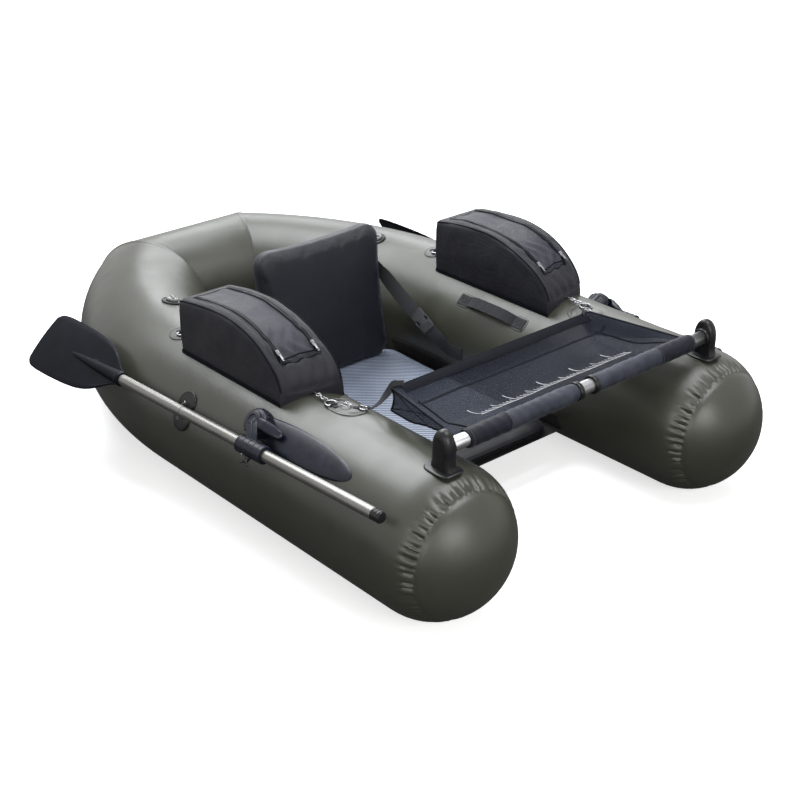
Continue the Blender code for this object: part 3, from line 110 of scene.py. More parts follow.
def toMesh(*shapes, angle=40, outward=True):
    verts, faces = [], []
    for shapeVerts, shapeFaces in shapes:
        base = len(verts)
        verts += [tuple(v) for v in shapeVerts]
        faces += [tuple(i + base for i in face) for face in shapeFaces]
    mesh = bpy.data.meshes.new("shape")
    mesh.from_pydata(verts, [], faces)
    bm = bmesh.new()
    bm.from_mesh(mesh)
    bmesh.ops.dissolve_degenerate(bm, edges=bm.edges, dist=1e-7)
    if outward:
        bmesh.ops.recalc_face_normals(bm, faces=bm.faces)
    bm.to_mesh(mesh)
    bm.free()
    smooth(mesh, angle)
    return mesh


def smooth(mesh, angle):
    mesh.shade_smooth()
    mesh.set_sharp_from_angle(angle=math.radians(angle))


def strip(points, across, width, thickness):  # flat webbing with soft edges
    flat, lip = 0.3, 0.485
    half = [(-.5, -flat), (-lip, -.5), (lip, -.5), (.5, -flat)]
    corners = half + [(-u, -v) for u, v in half]
    rings = []
    for i, point in enumerate(points):
        heading = (points[min(i + 1, len(points) - 1)] - points[max(i - 1, 0)]).normalized()
        side = Vector(across[i] if isinstance(across, list) else across)
        side = (side - heading * side.dot(heading)).normalized()
        face = side.cross(heading)
        wide = width[i] if isinstance(width, list) else width
        rings.append([point + side * (u * wide) + face * (v * thickness) for u, v in corners])
    return loft(rings)


def smoothLine(points, steps=6):  # Catmull-Rom through the points
    made = []
    for i in range(len(points) - 1):
        p0, p1, p2 = points[max(i - 1, 0)], points[i], points[i + 1]
        p3 = points[min(i + 2, len(points) - 1)]
        for k in range(steps):
            t = k / steps
            square = (2 * p0 - 5 * p1 + 4 * p2 - p3) * t ** 2
            cube = (3 * p1 - p0 - 3 * p2 + p3) * t ** 3
            made.append(0.5 * (2 * p1 + (p2 - p0) * t + square + cube))
    made.append(points[-1].copy())
    return made


def turned(profile, place, count=48):  # a shape turned on the frame's Z, from (radius, height) pairs
    rings = []
    for radius, height in profile:
        ring = [Vector((radius * math.cos(t), radius * math.sin(t), height)) for t in circleOf(count)]
        rings.append([place @ p for p in ring])
    return loft(rings)


def softBox(size, place, round=0.18):  # a box with rounded corners and edges
    w, l, h = (s / 2 for s in size)
    r = min(w, l, h) * 2 * round
    rings = []
    for z, pull in ((-h, r), (-h + r * .3, r * .3), (-h + r, 0), (h - r, 0), (h - r * .3, r * .3), (h, r)):
        ring = []
        for cx, cy, start in ((1, 1, 0), (-1, 1, 90), (-1, -1, 180), (1, -1, 270)):
            for k in range(4):
                t = math.radians(start + 30 * k)
                x = cx * (w - r) + (r - pull) * math.cos(t)
                y = cy * (l - r) + (r - pull) * math.sin(t)
                ring.append(place @ Vector((x, y, z)))
        rings.append(ring)
    return loft(rings)


def smoothStep(x):
    x = min(1.0, max(0.0, x))
    return x * x * (3 - 2 * x)


def addPiece(name, mesh, material, body, slotName, *stands):
    mesh.name = name
    mesh.materials.clear()
    mesh.materials.append(material)
    piece = bpy.data.objects.new(name, mesh)
    bpy.context.scene.collection.objects.link(piece)
    if body:
        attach(piece, body)
    if stands:
        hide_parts(*stands)
    return piece


def addWall(piece, name, thickness, offset):
    wall = piece.modifiers.new(name, "SOLIDIFY")
    wall.thickness = thickness
    wall.offset = offset


# Node helpers

def addNode(tree, kind, inputs=None, **props):
    node = tree.nodes.new(kind)
    for key, value in props.items():
        setattr(node, key, value)
    for key, value in (inputs or {}).items():
        if isinstance(value, bpy.types.NodeSocket):
            tree.links.new(value, node.inputs[key])
        else:
            node.inputs[key].default_value = value
    return node


def calc(tree, operation, *values):
    return addNode(tree, "ShaderNodeMath", dict(enumerate(values)), operation=operation).outputs[0]


def remap(tree, value, fromMin, fromMax, toMin=0.0, toMax=1.0, kind="LINEAR"):
    sizes = {"Value": value, "From Min": fromMin, "From Max": fromMax, "To Min": toMin, "To Max": toMax}
    return addNode(tree, "ShaderNodeMapRange", sizes, interpolation_type=kind).outputs[0]


def weighted(tree, first, firstShare, second, secondShare):
    shares = [calc(tree, "MULTIPLY", *pair) for pair in ((first, firstShare), (second, secondShare))]
    return calc(tree, "ADD", *shares)


def axisOf(tree, place, axis):
    return addNode(tree, "ShaderNodeSeparateXYZ", {"Vector": place}).outputs[axis]


def mixed(tree, factor, low, high):
    node = addNode(tree, "ShaderNodeMix", {"Factor": factor, 6: low, 7: high}, data_type="RGBA")
    return node.outputs[2]


def startMaterial(name, roughness=0.5, metallic=0.0, **sockets):
    material = bpy.data.materials.new(name)
    material.use_nodes = True
    tree = material.node_tree
    shader = tree.nodes["Principled BSDF"]
    shader.inputs["Roughness"].default_value = roughness
    shader.inputs["Metallic"].default_value = metallic
    for key, value in sockets.items():
        shader.inputs[key.replace("_", " ")].default_value = value
    place = addNode(tree, "ShaderNodeTexCoord").outputs["Object"]
    return material, tree, shader, place


def noiseOf(tree, place, scale, detail=3.0, rough=0.55):
    sizes = {"Vector": place, "Scale": scale, "Detail": detail, "Roughness": rough}
    return addNode(tree, "ShaderNodeTexNoise", sizes).outputs[0]


def stretched(tree, place, scale, turn=(0, 0, 0)):
    return addNode(tree, "ShaderNodeMapping", {"Vector": place, "Scale": scale, "Rotation": turn}).outputs[0]


def bandsOf(tree, place, wavelength, axis="X"):
    perMetre = 0.31416 / wavelength
    return addNode(tree, "ShaderNodeTexWave", {"Vector": place, "Scale": perMetre},
                   wave_type="BANDS", bands_direction=axis).outputs["Fac"]


def threadsOf(tree, place, weave, axes):  # threads that cross, one band for each axis
    total = bandsOf(tree, place, weave, axes[0])
    for axis in axes[1:]:
        total = calc(tree, "ADD", total, bandsOf(tree, place, weave, axis))
    return total


def colourBetween(tree, shader, fac, dark, light, low=0.3, high=0.7):
    ramp = addNode(tree, "ShaderNodeValToRGB", {"Fac": fac})
    for element, position, colour in zip(ramp.color_ramp.elements, (low, high), (dark, light)):
        element.position = position
        element.color = (*colour, 1)
    if shader is not None:
        tree.links.new(ramp.outputs["Color"], shader.inputs["Base Color"])
    return ramp.outputs["Color"]


def roughBetween(tree, shader, fac, low, high):
    tree.links.new(remap(tree, fac, 0.3, 0.7, low, high), shader.inputs["Roughness"])


def bumpBy(tree, shader, height, distance, strength=1.0, under=None):
    inputs = {"Height": height, "Distance": distance, "Strength": strength}
    if under is not None:
        inputs["Normal"] = under
    normal = addNode(tree, "ShaderNodeBump", inputs).outputs[0]
    tree.links.new(normal, shader.inputs["Normal"])
    return normal


# Materials

def makePvc(name, dark, light, roughness):  # coated fabric: fine leathery grain, faint scrim, uneven gloss
    material, tree, shader, place = startMaterial(name, roughness)
    colourBetween(tree, shader, noiseOf(tree, place, 5.0, 4.0), dark, light)
    roughBetween(tree, shader, noiseOf(tree, place, 11.0, 5.0), roughness - 0.05, roughness + 0.06)
    scrim = calc(tree, "MULTIPLY", bandsOf(tree, place, 0.0022, "Y"), bandsOf(tree, place, 0.0022, "X"))
    threads = bumpBy(tree, shader, scrim, 0.00006)
    leather = bumpBy(tree, shader, noiseOf(tree, place, 420.0, 2.0), 0.00012, under=threads)
    bumpBy(tree, shader, noiseOf(tree, place, 7.0, 2.0), 0.0016, 0.6, under=leather)
    return material


def makeCloth(name, dark, light, roughness, weave, sheen, grain=0.00018, specular=0.28):
    material, tree, shader, place = startMaterial(
        name, roughness, Sheen_Weight=sheen, Sheen_Roughness=0.45, Specular_IOR_Level=specular)
    threads = threadsOf(tree, place, weave, "XYZ")
    worn = noiseOf(tree, place, 18.0, 4.0)
    colourBetween(tree, shader, weighted(tree, threads, 0.16, worn, 0.55), dark, light, 0.28, 0.78)
    roughBetween(tree, shader, worn, roughness - 0.06, roughness + 0.06)
    woven = bumpBy(tree, shader, threads, grain)
    bumpBy(tree, shader, noiseOf(tree, place, 26.0, 3.0), 0.0011, 0.7, under=woven)
    return material


def makePlastic(name, dark, light, roughness, specular=0.3):  # moulded plastic or rubber
    material, tree, shader, place = startMaterial(name, roughness, Specular_IOR_Level=specular)
    colourBetween(tree, shader, noiseOf(tree, place, 30.0, 4.0), dark, light)
    roughBetween(tree, shader, noiseOf(tree, place, 60.0, 5.0), roughness - 0.06, roughness + 0.08)
    bumpBy(tree, shader, noiseOf(tree, place, 900.0, 3.0), 0.00008)
    return material


def makeMetal(name, dark, light, roughness, drawn, lineScale=12.0):  # drawn along one axis, or polished
    material, tree, shader, place = startMaterial(name, roughness, 1.0)
    lines = noiseOf(tree, stretched(tree, place, drawn), lineScale, 5.0, 0.7)
    colourBetween(tree, shader, lines, dark, light)
    roughBetween(tree, shader, lines, roughness - 0.06, roughness + 0.1)
    bumpBy(tree, shader, lines, 0.00002)
    return material


hullPvc = makePvc("hullPvc", (0.036, 0.037, 0.027), (0.047, 0.048, 0.037), 0.34)
tapePvc = makePvc("weldTapePvc", (0.032, 0.033, 0.027), (0.042, 0.043, 0.035), 0.33)
patchPvc = makePvc("patchPvc", (0.036, 0.038, 0.033), (0.048, 0.05, 0.044), 0.34)
panelPvc = makePvc("seatPanelPvc", (0.008, 0.008, 0.009), (0.016, 0.016, 0.017), 0.6)
webbing = makeCloth("webbing", (0.006, 0.0065, 0.008), (0.02, 0.021, 0.025), 0.7, 0.0024, 0.08, 0.0003)
bagCloth = makeCloth("bagNylon", (0.0038, 0.0038, 0.0076), (0.0086, 0.0086, 0.0156), 0.46, 0.0014, 0.05)
# the lid is the bag's own nylon made lighter, a painted light for the top that faces the lamps
lidClothPaintedLight = makeCloth("bagLidNylonPaintedLight", (0.0062, 0.0062, 0.012), (0.0138, 0.014, 0.0262), 0.46, 0.0014, 0.06)
pipingCloth = makeCloth("pipingTape", (0.0025, 0.003, 0.005), (0.006, 0.007, 0.0115), 0.7, 0.001, 0.0,
                        specular=0.08)
stitchThread = makeCloth("stitchThread", (0.05, 0.052, 0.055), (0.12, 0.125, 0.13), 0.7, 0.0006, 0.2)
zipNylon = makePlastic("zipNylon", (0.005, 0.005, 0.006), (0.014, 0.014, 0.016), 0.4)
zipMetal = makeMetal("sliderMetal", (0.12, 0.12, 0.125), (0.3, 0.3, 0.31), 0.35, (1, 60, 60))
steel = makeMetal("ringSteel", (0.22, 0.22, 0.23), (0.42, 0.42, 0.43), 0.24, (40, 40, 40), 6.0)
barAluminium = makeMetal("barAluminium", (0.3, 0.3, 0.31), (0.4, 0.4, 0.41), 0.36, (1, 22, 22))
oarAluminium = makeMetal("oarAluminium", (0.17, 0.167, 0.157), (0.24, 0.236, 0.224), 0.38, (22, 1, 22))
rubber = makePlastic("holderRubber", (0.004, 0.004, 0.005), (0.011, 0.011, 0.012), 0.3)
oarlockRubber = makePlastic("oarlockRubber", (0.003, 0.004, 0.009), (0.008, 0.01, 0.02), 0.32)
yokePlastic = makePlastic("yokePlastic", (0.003, 0.004, 0.009), (0.009, 0.011, 0.021), 0.33)
bladePlastic = makePlastic("bladePlastic", (0.0018, 0.0022, 0.0045), (0.0045, 0.0053, 0.0095), 0.45, 0.09)
bucklePlastic = makePlastic("bucklePlastic", (0.01, 0.011, 0.013), (0.028, 0.029, 0.033), 0.38)
valvePlastic = makePlastic("valvePlastic", (0.005, 0.0055, 0.0055), (0.012, 0.013, 0.0125), 0.36)
valveCapPlastic = makePlastic("valveCapPlastic", (0.2, 0.21, 0.205), (0.32, 0.33, 0.325), 0.32)
rulerInk = makePlastic("rulerInk", (0.62, 0.63, 0.65), (0.8, 0.81, 0.82), 0.5)

# frontShadeEdge: the Y where the painted shade over the seat's front strip ends
seatTwill = {"turn": math.radians(-49), "ridge": 0.0088, "cross": 0.0031, "topHeight": 0.1,
             "frontShadeEdge": -0.37, "edge": 0.002, "dark": (0.026, 0.033, 0.05), "light": (0.46, 0.53, 0.68)}
sleeveCuff = {"start": 0.226, "edge": 0.0005}  # where the dark cuff begins, from the bar's middle


def makeSeatCloth():  # coated twill, silver-blue ridges laid slantwise on the top, plain and dark below; the same plain dark colour is painted over the front strip as shade
    material, tree, shader, place = startMaterial("seatTwill", 0.4, Sheen_Weight=0.06, Sheen_Roughness=0.4)
    spun = stretched(tree, place, (1, 1, 1), (0, 0, seatTwill["turn"]))
    ridge = bandsOf(tree, spun, seatTwill["ridge"], "X")
    cross = bandsOf(tree, spun, seatTwill["cross"], "Y")
    fine = calc(tree, "MULTIPLY", ridge, calc(tree, "ADD", 0.7, calc(tree, "MULTIPLY", cross, 0.3)))
    patchy = noiseOf(tree, place, 7.0, 3.0)
    twill = weighted(tree, fine, 0.6, patchy, 0.35)
    colour = colourBetween(tree, None, twill, seatTwill["dark"], seatTwill["light"], 0.2, 0.85)
    edge = seatTwill["edge"]
    # the top mask also stops short of the front strip, which gets the dark colour as painted shade
    topOutsideShade = [remap(tree, axisOf(tree, place, axis), least - edge, least + edge)
             for axis, least in (("Z", seatTwill["topHeight"]), ("Y", seatTwill["frontShadeEdge"]))]
    topOutsideShade = calc(tree, "MULTIPLY", *topOutsideShade)
    # the dark colour below the top, also used as painted shade over the front strip
    under = colourBetween(tree, None, patchy, (0.006, 0.006, 0.008), (0.013, 0.013, 0.017))
    tree.links.new(mixed(tree, topOutsideShade, under, colour), shader.inputs["Base Color"])
    roughBetween(tree, shader, patchy, 0.36, 0.48)
    ridges = bumpBy(tree, shader, calc(tree, "MULTIPLY", fine, topOutsideShade), 0.0006)
    bumpBy(tree, shader, noiseOf(tree, place, 30.0, 2.0), 0.0008, 0.5, under=ridges)
    return material


def makeBackrestCloth():  # stretch fabric over foam, brighter where it catches light at the rim
    material, tree, shader, place = startMaterial(
        "backrestFabric", 0.44, Sheen_Weight=0.09, Sheen_Roughness=0.35, Specular_IOR_Level=0.36)
    shader.inputs["Sheen Tint"].default_value = (0.6, 0.68, 0.9, 1)
    threads = threadsOf(tree, place, 0.0012, "XZ")
    worn = noiseOf(tree, place, 12.0, 4.0)
    dark, light = (0.0018, 0.0022, 0.005), (0.0045, 0.0058, 0.0125)
    colourBetween(tree, shader, weighted(tree, threads, 0.2, worn, 0.6), dark, light, 0.25, 0.8)
    roughBetween(tree, shader, worn, 0.4, 0.5)
    woven = bumpBy(tree, shader, threads, 0.00014)
    bumpBy(tree, shader, noiseOf(tree, place, 22.0, 3.0), 0.0009, 0.6, under=woven)
    return material


def makeApronMesh(name, solidShare, threadShare=0.12):  # open net that lets some of what is behind it show
    material, tree, shader, place = startMaterial(name, 0.6, Specular_IOR_Level=0.06)
    threads = threadsOf(tree, place, 0.0032, "XY")
    patchy = noiseOf(tree, place, 9.0, 3.0)
    dark, light = (0.006, 0.007, 0.012), (0.021, 0.025, 0.036)
    colourBetween(tree, shader, weighted(tree, threads, 0.2, patchy, 0.6), dark, light, 0.25, 0.85)
    solid = calc(tree, "ADD", solidShare - threadShare, calc(tree, "MULTIPLY", threads, threadShare))
    tree.links.new(solid, shader.inputs["Alpha"])
    bumpBy(tree, shader, threads, 0.0003)
    return material


def makeSleeveCloth():  # slate sleeve cloth with a dark cuff at its outer end
    material, tree, shader, place = startMaterial(
        "sleeveCloth", 0.5, Sheen_Weight=0.04, Sheen_Roughness=0.4, Specular_IOR_Level=0.18)
    reach = calc(tree, "ABSOLUTE", axisOf(tree, place, "X"))
    start, edge = sleeveCuff["start"], sleeveCuff["edge"]
    cuff = remap(tree, reach, start - edge, start + edge)
    worn = noiseOf(tree, place, 24.0, 4.0)
    slate = colourBetween(tree, None, worn, (0.02, 0.023, 0.034), (0.042, 0.047, 0.063))
    dark = colourBetween(tree, None, worn, (0.003, 0.0035, 0.0075), (0.007, 0.008, 0.016))
    tree.links.new(mixed(tree, cuff, slate, dark), shader.inputs["Base Color"])
    woven = bumpBy(tree, shader, threadsOf(tree, place, 0.0016, "XZ"), 0.0002)
    folds = noiseOf(tree, stretched(tree, place, (9, 60, 60)), 1.0, 3.0)
    bumpBy(tree, shader, folds, 0.0012, 0.7, under=woven)
    return material


seatCloth = makeSeatCloth()
backrestCloth = makeBackrestCloth()
apronNet = makeApronMesh("apronNet", 0.72)
sleeveCloth = makeSleeveCloth()
print("scene: materials made")


# Geometry Nodes trees

def startTree(name, **sizes):  # sizes: socket name -> (socket type, default)
    tree = bpy.data.node_groups.new(name, "GeometryNodeTree")
    tree.interface.new_socket("Geometry", in_out="INPUT", socket_type="NodeSocketGeometry")
    for key, (kind, value) in sizes.items():
        item = tree.interface.new_socket(key, in_out="INPUT", socket_type="NodeSocket" + kind)
        item.default_value = value
    tree.interface.new_socket("Material", in_out="INPUT", socket_type="NodeSocketMaterial")
    tree.interface.new_socket("Geometry", in_out="OUTPUT", socket_type="NodeSocketGeometry")
    return tree, tree.nodes.new("NodeGroupInput").outputs


def endTree(tree, out, geometry):
    whole = addNode(tree, "GeometryNodeRealizeInstances", {"Geometry": geometry}).outputs[0]
    dressed = addNode(tree, "GeometryNodeSetMaterial", {"Geometry": whole, "Material": out["Material"]})
    target = tree.nodes.new("NodeGroupOutput")
    tree.links.new(dressed.outputs[0], target.inputs[0])
    return tree


def makeCordTree():  # a round bead along the edges of the input
    tree, out = startTree("beadAlongLine", Radius=("Float", 0.002), Sides=("Int", 10))
    line = addNode(tree, "GeometryNodeMeshToCurve", {"Mesh": out["Geometry"]}).outputs[0]
    profile = addNode(tree, "GeometryNodeCurvePrimitiveCircle",
                      {"Resolution": out["Sides"], "Radius": out["Radius"]}).outputs[0]
    tube = addNode(tree, "GeometryNodeCurveToMesh",
                   {"Curve": line, "Profile Curve": profile, "Fill Caps": True})
    rounded = addNode(tree, "GeometryNodeSetShadeSmooth", {"Geometry": tube.outputs[0]})
    return endTree(tree, out, rounded.outputs[0])


def makeStitchTree():  # small bars along a line, flat on the surface that "lift" points away from
    tree, out = startTree("stitchesAlongLine", Pitch=("Float", 0.004), Length=("Float", 0.0026),
                          Width=("Float", 0.0008), Height=("Float", 0.0006))
    line = addNode(tree, "GeometryNodeMeshToCurve", {"Mesh": out["Geometry"]}).outputs[0]
    points = addNode(tree, "GeometryNodeCurveToPoints", {"Curve": line, "Length": out["Pitch"]},
                     mode="LENGTH")
    lift = addNode(tree, "GeometryNodeInputNamedAttribute", {"Name": "lift"}, data_type="FLOAT_VECTOR")
    flat = addNode(tree, "FunctionNodeAlignRotationToVector", {"Vector": lift.outputs[0]}, axis="Z")
    aligned = addNode(tree, "FunctionNodeAlignRotationToVector",
                      {"Rotation": flat.outputs[0], "Vector": points.outputs["Tangent"]},
                      axis="X", pivot_axis="Z")
    size = addNode(tree, "ShaderNodeCombineXYZ",
                   {"X": out["Length"], "Y": out["Width"], "Z": out["Height"]}).outputs[0]
    bar = addNode(tree, "GeometryNodeMeshCube", {"Size": size}).outputs[0]
    laid = addNode(tree, "GeometryNodeInstanceOnPoints",
                   {"Points": points.outputs[0], "Instance": bar, "Rotation": aligned.outputs[0]})
    return endTree(tree, out, laid.outputs[0])


def makePuckerTree():  # gathers where each nose panel is welded in, and the small step of the lapped seam
    tree, out = startTree(
        "nosePuckers", SeamRun=("Float", 0.072), PuckerLength=("Float", 0.034), PuckerDepth=("Float", 0.0034),
        PuckerCount=("Float", 46.0), LapStep=("Float", 0.002), NoseTip=("Float", -0.857),
        AxisX=("Float", 0.3935), AxisZ=("Float", 0.165), Seed=("Float", 3.0))

    def times(a, b):
        return calc(tree, "MULTIPLY", a, b)

    spot = addNode(tree, "GeometryNodeInputPosition").outputs[0]
    parts = addNode(tree, "ShaderNodeSeparateXYZ", {"Vector": spot}).outputs
    run = calc(tree, "SUBTRACT", parts[1], out["NoseTip"])
    across = calc(tree, "SUBTRACT", calc(tree, "ABSOLUTE", parts[0]), out["AxisX"])
    around = calc(tree, "ARCTAN2", calc(tree, "SUBTRACT", parts[2], out["AxisZ"]), across)
    circle = addNode(tree, "ShaderNodeCombineXYZ", {
        "X": calc(tree, "COSINE", around), "Y": calc(tree, "SINE", around),
        "Z": calc(tree, "ADD", parts[0], out["Seed"])}).outputs[0]
    wander = noiseOf(tree, circle, 3.2, 2.0)
    uneven = noiseOf(tree, circle, 5.5, 2.0)
    phase = calc(tree, "ADD", times(around, times(out["PuckerCount"], 0.5)), times(wander, 9.0))
    lobe = calc(tree, "POWER", calc(tree, "ABSOLUTE", calc(tree, "SINE", phase)), 0.6)
    valley = calc(tree, "SUBTRACT", 1.0, lobe)
    size = remap(tree, uneven, 0.35, 0.62, 0.6, 1.1)
    behind = calc(tree, "SUBTRACT", run, out["SeamRun"])
    reach = times(out["PuckerLength"], calc(tree, "ADD", 0.55, uneven))
    fade = remap(tree, calc(tree, "DIVIDE", behind, reach), 0.0, 1.0, 1.0, 0.0, "SMOOTHSTEP")
    start = remap(tree, behind, -0.003, 0.0015)
    depth = times(times(valley, size), times(fade, start))
    lap = times(calc(tree, "SUBTRACT", 1.0, start), out["LapStep"])
    near = remap(tree, behind, -0.012, -0.001, 0.15, 1.0, "SMOOTHSTEP")
    inward = calc(tree, "ADD", times(depth, out["PuckerDepth"]), times(lap, near))
    onNose = calc(tree, "LESS_THAN", run, 0.16)
    amount = times(times(inward, onNose), -1.0)
    normal = addNode(tree, "GeometryNodeInputNormal").outputs[0]
    push = addNode(tree, "ShaderNodeVectorMath", {0: normal}, operation="SCALE")
    tree.links.new(amount, push.inputs["Scale"])
    pressed = addNode(tree, "GeometryNodeSetPosition",
                      {"Geometry": out["Geometry"], "Offset": push.outputs[0]})
    return endTree(tree, out, pressed.outputs[0])


beadTree = makeCordTree()
stitchTree = makeStitchTree()
puckerTree = makePuckerTree()


def bake(mesh, tree, values, material):  # runs a tree on a mesh and returns the plain mesh
    holder = bpy.data.objects.new("form", mesh)
    bpy.context.scene.collection.objects.link(holder)
    modifier = holder.modifiers.new("nodes", "NODES")
    modifier.node_group = tree
    given = dict(values, Material=material)
    for item in tree.interface.items_tree:
        if item.item_type == "SOCKET" and item.in_out == "INPUT" and item.name in given:
            modifier[item.identifier] = given[item.name]
    graph = bpy.context.evaluated_depsgraph_get()
    made = bpy.data.meshes.new_from_object(holder.evaluated_get(graph))
    holder.modifiers.remove(modifier)
    bpy.data.objects.remove(holder, do_unlink=True)
    return made


def lineMesh(lines, lifts, closed):
    verts, edges, ups = [], [], []
    for number, line in enumerate(lines):
        base = len(verts)
        verts += [tuple(p) for p in line]
        count = len(line)
        edges += [(base + i, base + (i + 1) % count) for i in range(count if closed else count - 1)]
        if lifts is not None:
            ups += [tuple(up) for up in lifts[number]]
    mesh = bpy.data.meshes.new("line")
    mesh.from_pydata(verts, edges, [])
    if lifts is not None:
        attribute = mesh.attributes.new("lift", "FLOAT_VECTOR", "POINT")
        attribute.data.foreach_set("vector", [x for up in ups for x in up])
    return mesh


def addBead(name, lines, radius, sides, material, body, slotName, *stands, closed=False):
    mesh = bake(lineMesh(lines, None, closed), beadTree, {"Radius": radius, "Sides": sides}, material)
    smooth(mesh, 50)
    return addPiece(name, mesh, material, body, slotName, *stands)


def addStitches(name, lines, lifts, sizes, material, body, slotName):  # sizes: pitch, length, width, height
    values = dict(zip(("Pitch", "Length", "Width", "Height"), sizes))
    mesh = bake(lineMesh(lines, lifts, False), stitchTree, values, material)
    return addPiece(name, mesh, material, body, slotName)


# Hull

hull = {
    "radius": 0.165, "axisX": 0.3935, "noseTip": -0.85733, "noseLength": 0.156, "straight": 0.811,
    "bendRadius": 0.824, "bendTurn": math.radians(45), "around": 288, "seamRun": 0.073, "puckers": 54,
    "puckerDepth": 0.0075, "puckerLength": 0.034, "tapeWidth": 0.02, "tapeThickness": 0.0007,
}
tubeR = hull["radius"]
axisX = hull["axisX"]
bendStart = hull["noseLength"] + hull["straight"]
bendEnd = bendStart + hull["bendRadius"] * hull["bendTurn"]
mitreSlope = math.tan((math.pi / 2 - hull["bendTurn"]) / 2)
clearance = 0.0003  # the gap to what a piece rests on
crest = 2 * tubeR


def placeY(run):
    return hull["noseTip"] + run


def station(side, run):  # centre, heading and outward direction of a side tube
    turn = max(0.0, (run - bendStart) / hull["bendRadius"])
    inset = hull["bendRadius"] * (1 - math.cos(turn))
    y = placeY(min(run, bendStart)) + hull["bendRadius"] * math.sin(turn)
    heading = Vector((-side * math.sin(turn), math.cos(turn), 0))
    outward = Vector((side * math.cos(turn), math.sin(turn), 0))
    return Vector((side * (axisX - inset), y, tubeR)), heading, outward


def onHull(side, run, angle, lift=0.0):  # X back along the tube, Z away from it, angle 0 outboard
    centre, heading, outward = station(side, run)
    away = outward * math.cos(angle) + zAxis * math.sin(angle)
    return frameOf(heading, away.cross(heading), away, centre + away * (tubeR + lift))


def sideRings(side):
    runs = [0.0015, 0.004, 0.008, 0.014, 0.021, 0.029, 0.037, 0.045, 0.051, 0.055]
    runs += [0.058 + 0.0022 * i for i in range(26)]
    runs += [0.12, 0.131, 0.143, 0.156]
    runs += [hull["noseLength"] + hull["straight"] * i / 16 for i in range(1, 17)]
    runs += [bendStart + (bendEnd - bendStart) * i / 24 for i in range(1, 24)]
    made = []
    for run in runs:
        centre, heading, outward = station(side, run)
        short = max(0.0, hull["noseLength"] - run) / hull["noseLength"]
        radius = tubeR * math.sqrt(1 - short ** 2)
        made.append(ellipse(centre, outward, zAxis, radius, radius, hull["around"]))
    centre, heading, outward = station(side, bendEnd)
    mitre = []
    for t in circleOf(hull["around"]):
        out = tubeR * math.cos(t)
        mitre.append(centre + outward * out + heading * (out * mitreSlope) + zAxis * (tubeR * math.sin(t)))
    return made + [mitre]


def makeHull():
    right, left = sideRings(-1), sideRings(1)
    rear = [[a.lerp(b, k / 8) for a, b in zip(right[-1], left[-1])] for k in range(1, 8)]
    made = right + rear + list(reversed(left))
    verts, faces = loft(made, caps=False)
    count = hull["around"]
    for side, base in ((-1, 0), (1, (len(made) - 1) * count)):
        verts.append(Vector((side * axisX, hull["noseTip"], tubeR)))
        tip = len(verts) - 1
        for i in range(count):
            j = (i + 1) % count
            faces.append((base + j, base + i, tip) if side < 0 else (base + i, base + j, tip))
    values = {"SeamRun": hull["seamRun"], "PuckerLength": hull["puckerLength"],
              "PuckerDepth": hull["puckerDepth"], "PuckerCount": float(hull["puckers"]),
              "NoseTip": hull["noseTip"], "AxisX": axisX, "AxisZ": tubeR}
    mesh = bake(toMesh((verts, faces), angle=60), puckerTree, values, hullPvc)
    smooth(mesh, 40)
    addPiece("hullSkin", mesh, hullPvc, "hull", "hull_pvc",
             "side_tube_right", "side_tube_left", "rear_tube", "nose_cap_right", "nose_cap_left")


def makeWeldTapes():  # a tape over each mitred corner seam
    lift, half, sink = hull["tapeThickness"], hull["tapeWidth"] / 2, 0.0004
    shoulder = half - 0.001
    shapes = []
    for side in sides.values():
        crease = sideRings(side)[-1]
        heading, outward = station(side, bendEnd)[1:]
        inward = xAxis * -side
        sections = []
        for p, t in list(zip(crease, circleOf(hull["around"])))[::3]:
            fore = outward * math.cos(t) + zAxis * math.sin(t)
            aft = yAxis * math.cos(t) + zAxis * math.sin(t)
            mid = (fore + aft).normalized()
            sections.append([
                p - heading * half - fore * sink, p - heading * shoulder + fore * lift,
                p - heading * half * 0.3 + fore * lift, p + mid * lift * 0.9,
                p + inward * half * 0.3 + aft * lift, p + inward * shoulder + aft * lift,
                p + inward * half - aft * sink, p - mid * 0.0012,
            ])
        shapes.append(loft(sections, loop=True))
    addPiece("cornerWeldTapes", toMesh(*shapes, angle=35), tapePvc, "hull", "rear_pvc")


makeHull()
makeWeldTapes()
print("scene: hull made")


# Pads welded on the hull

def squareCircle(t, power):  # cosine and sine, drawn towards a square where power is under 1
    c, s = math.cos(t), math.sin(t)
    return math.copysign(abs(c) ** power, c), math.copysign(abs(s) ** power, s)


def pad(side, run, angle, length, width, profile, place=Matrix(), square=1.0, count=72, height=None):
    made = []
    for share, lift in profile:
        ring = []
        for t in circleOf(count):
            c, s = squareCircle(t, square)
            tall = lift * height(share * c) if height else lift
            x, y = share * length / 2 * c, share * width / 2 * s
            ring.append(place @ onHull(side, run + x, angle + y / tubeR, tall + clearance).translation)
        made.append(ring)
    return loft(made)


def patchProfile(t):  # flat patch with a welded rim, as shares of its size and heights
    return [(0.03, 0), (0.5, 0), (1.0, 0), (1.005, t * .35), (0.985, t * .8), (0.965, t), (0.9, t),
            (0.885, t * .72), (0.86, t * .7), (0.845, t * .95), (0.5, t), (0.03, t)]


# Rings, loops and the front and rear patches

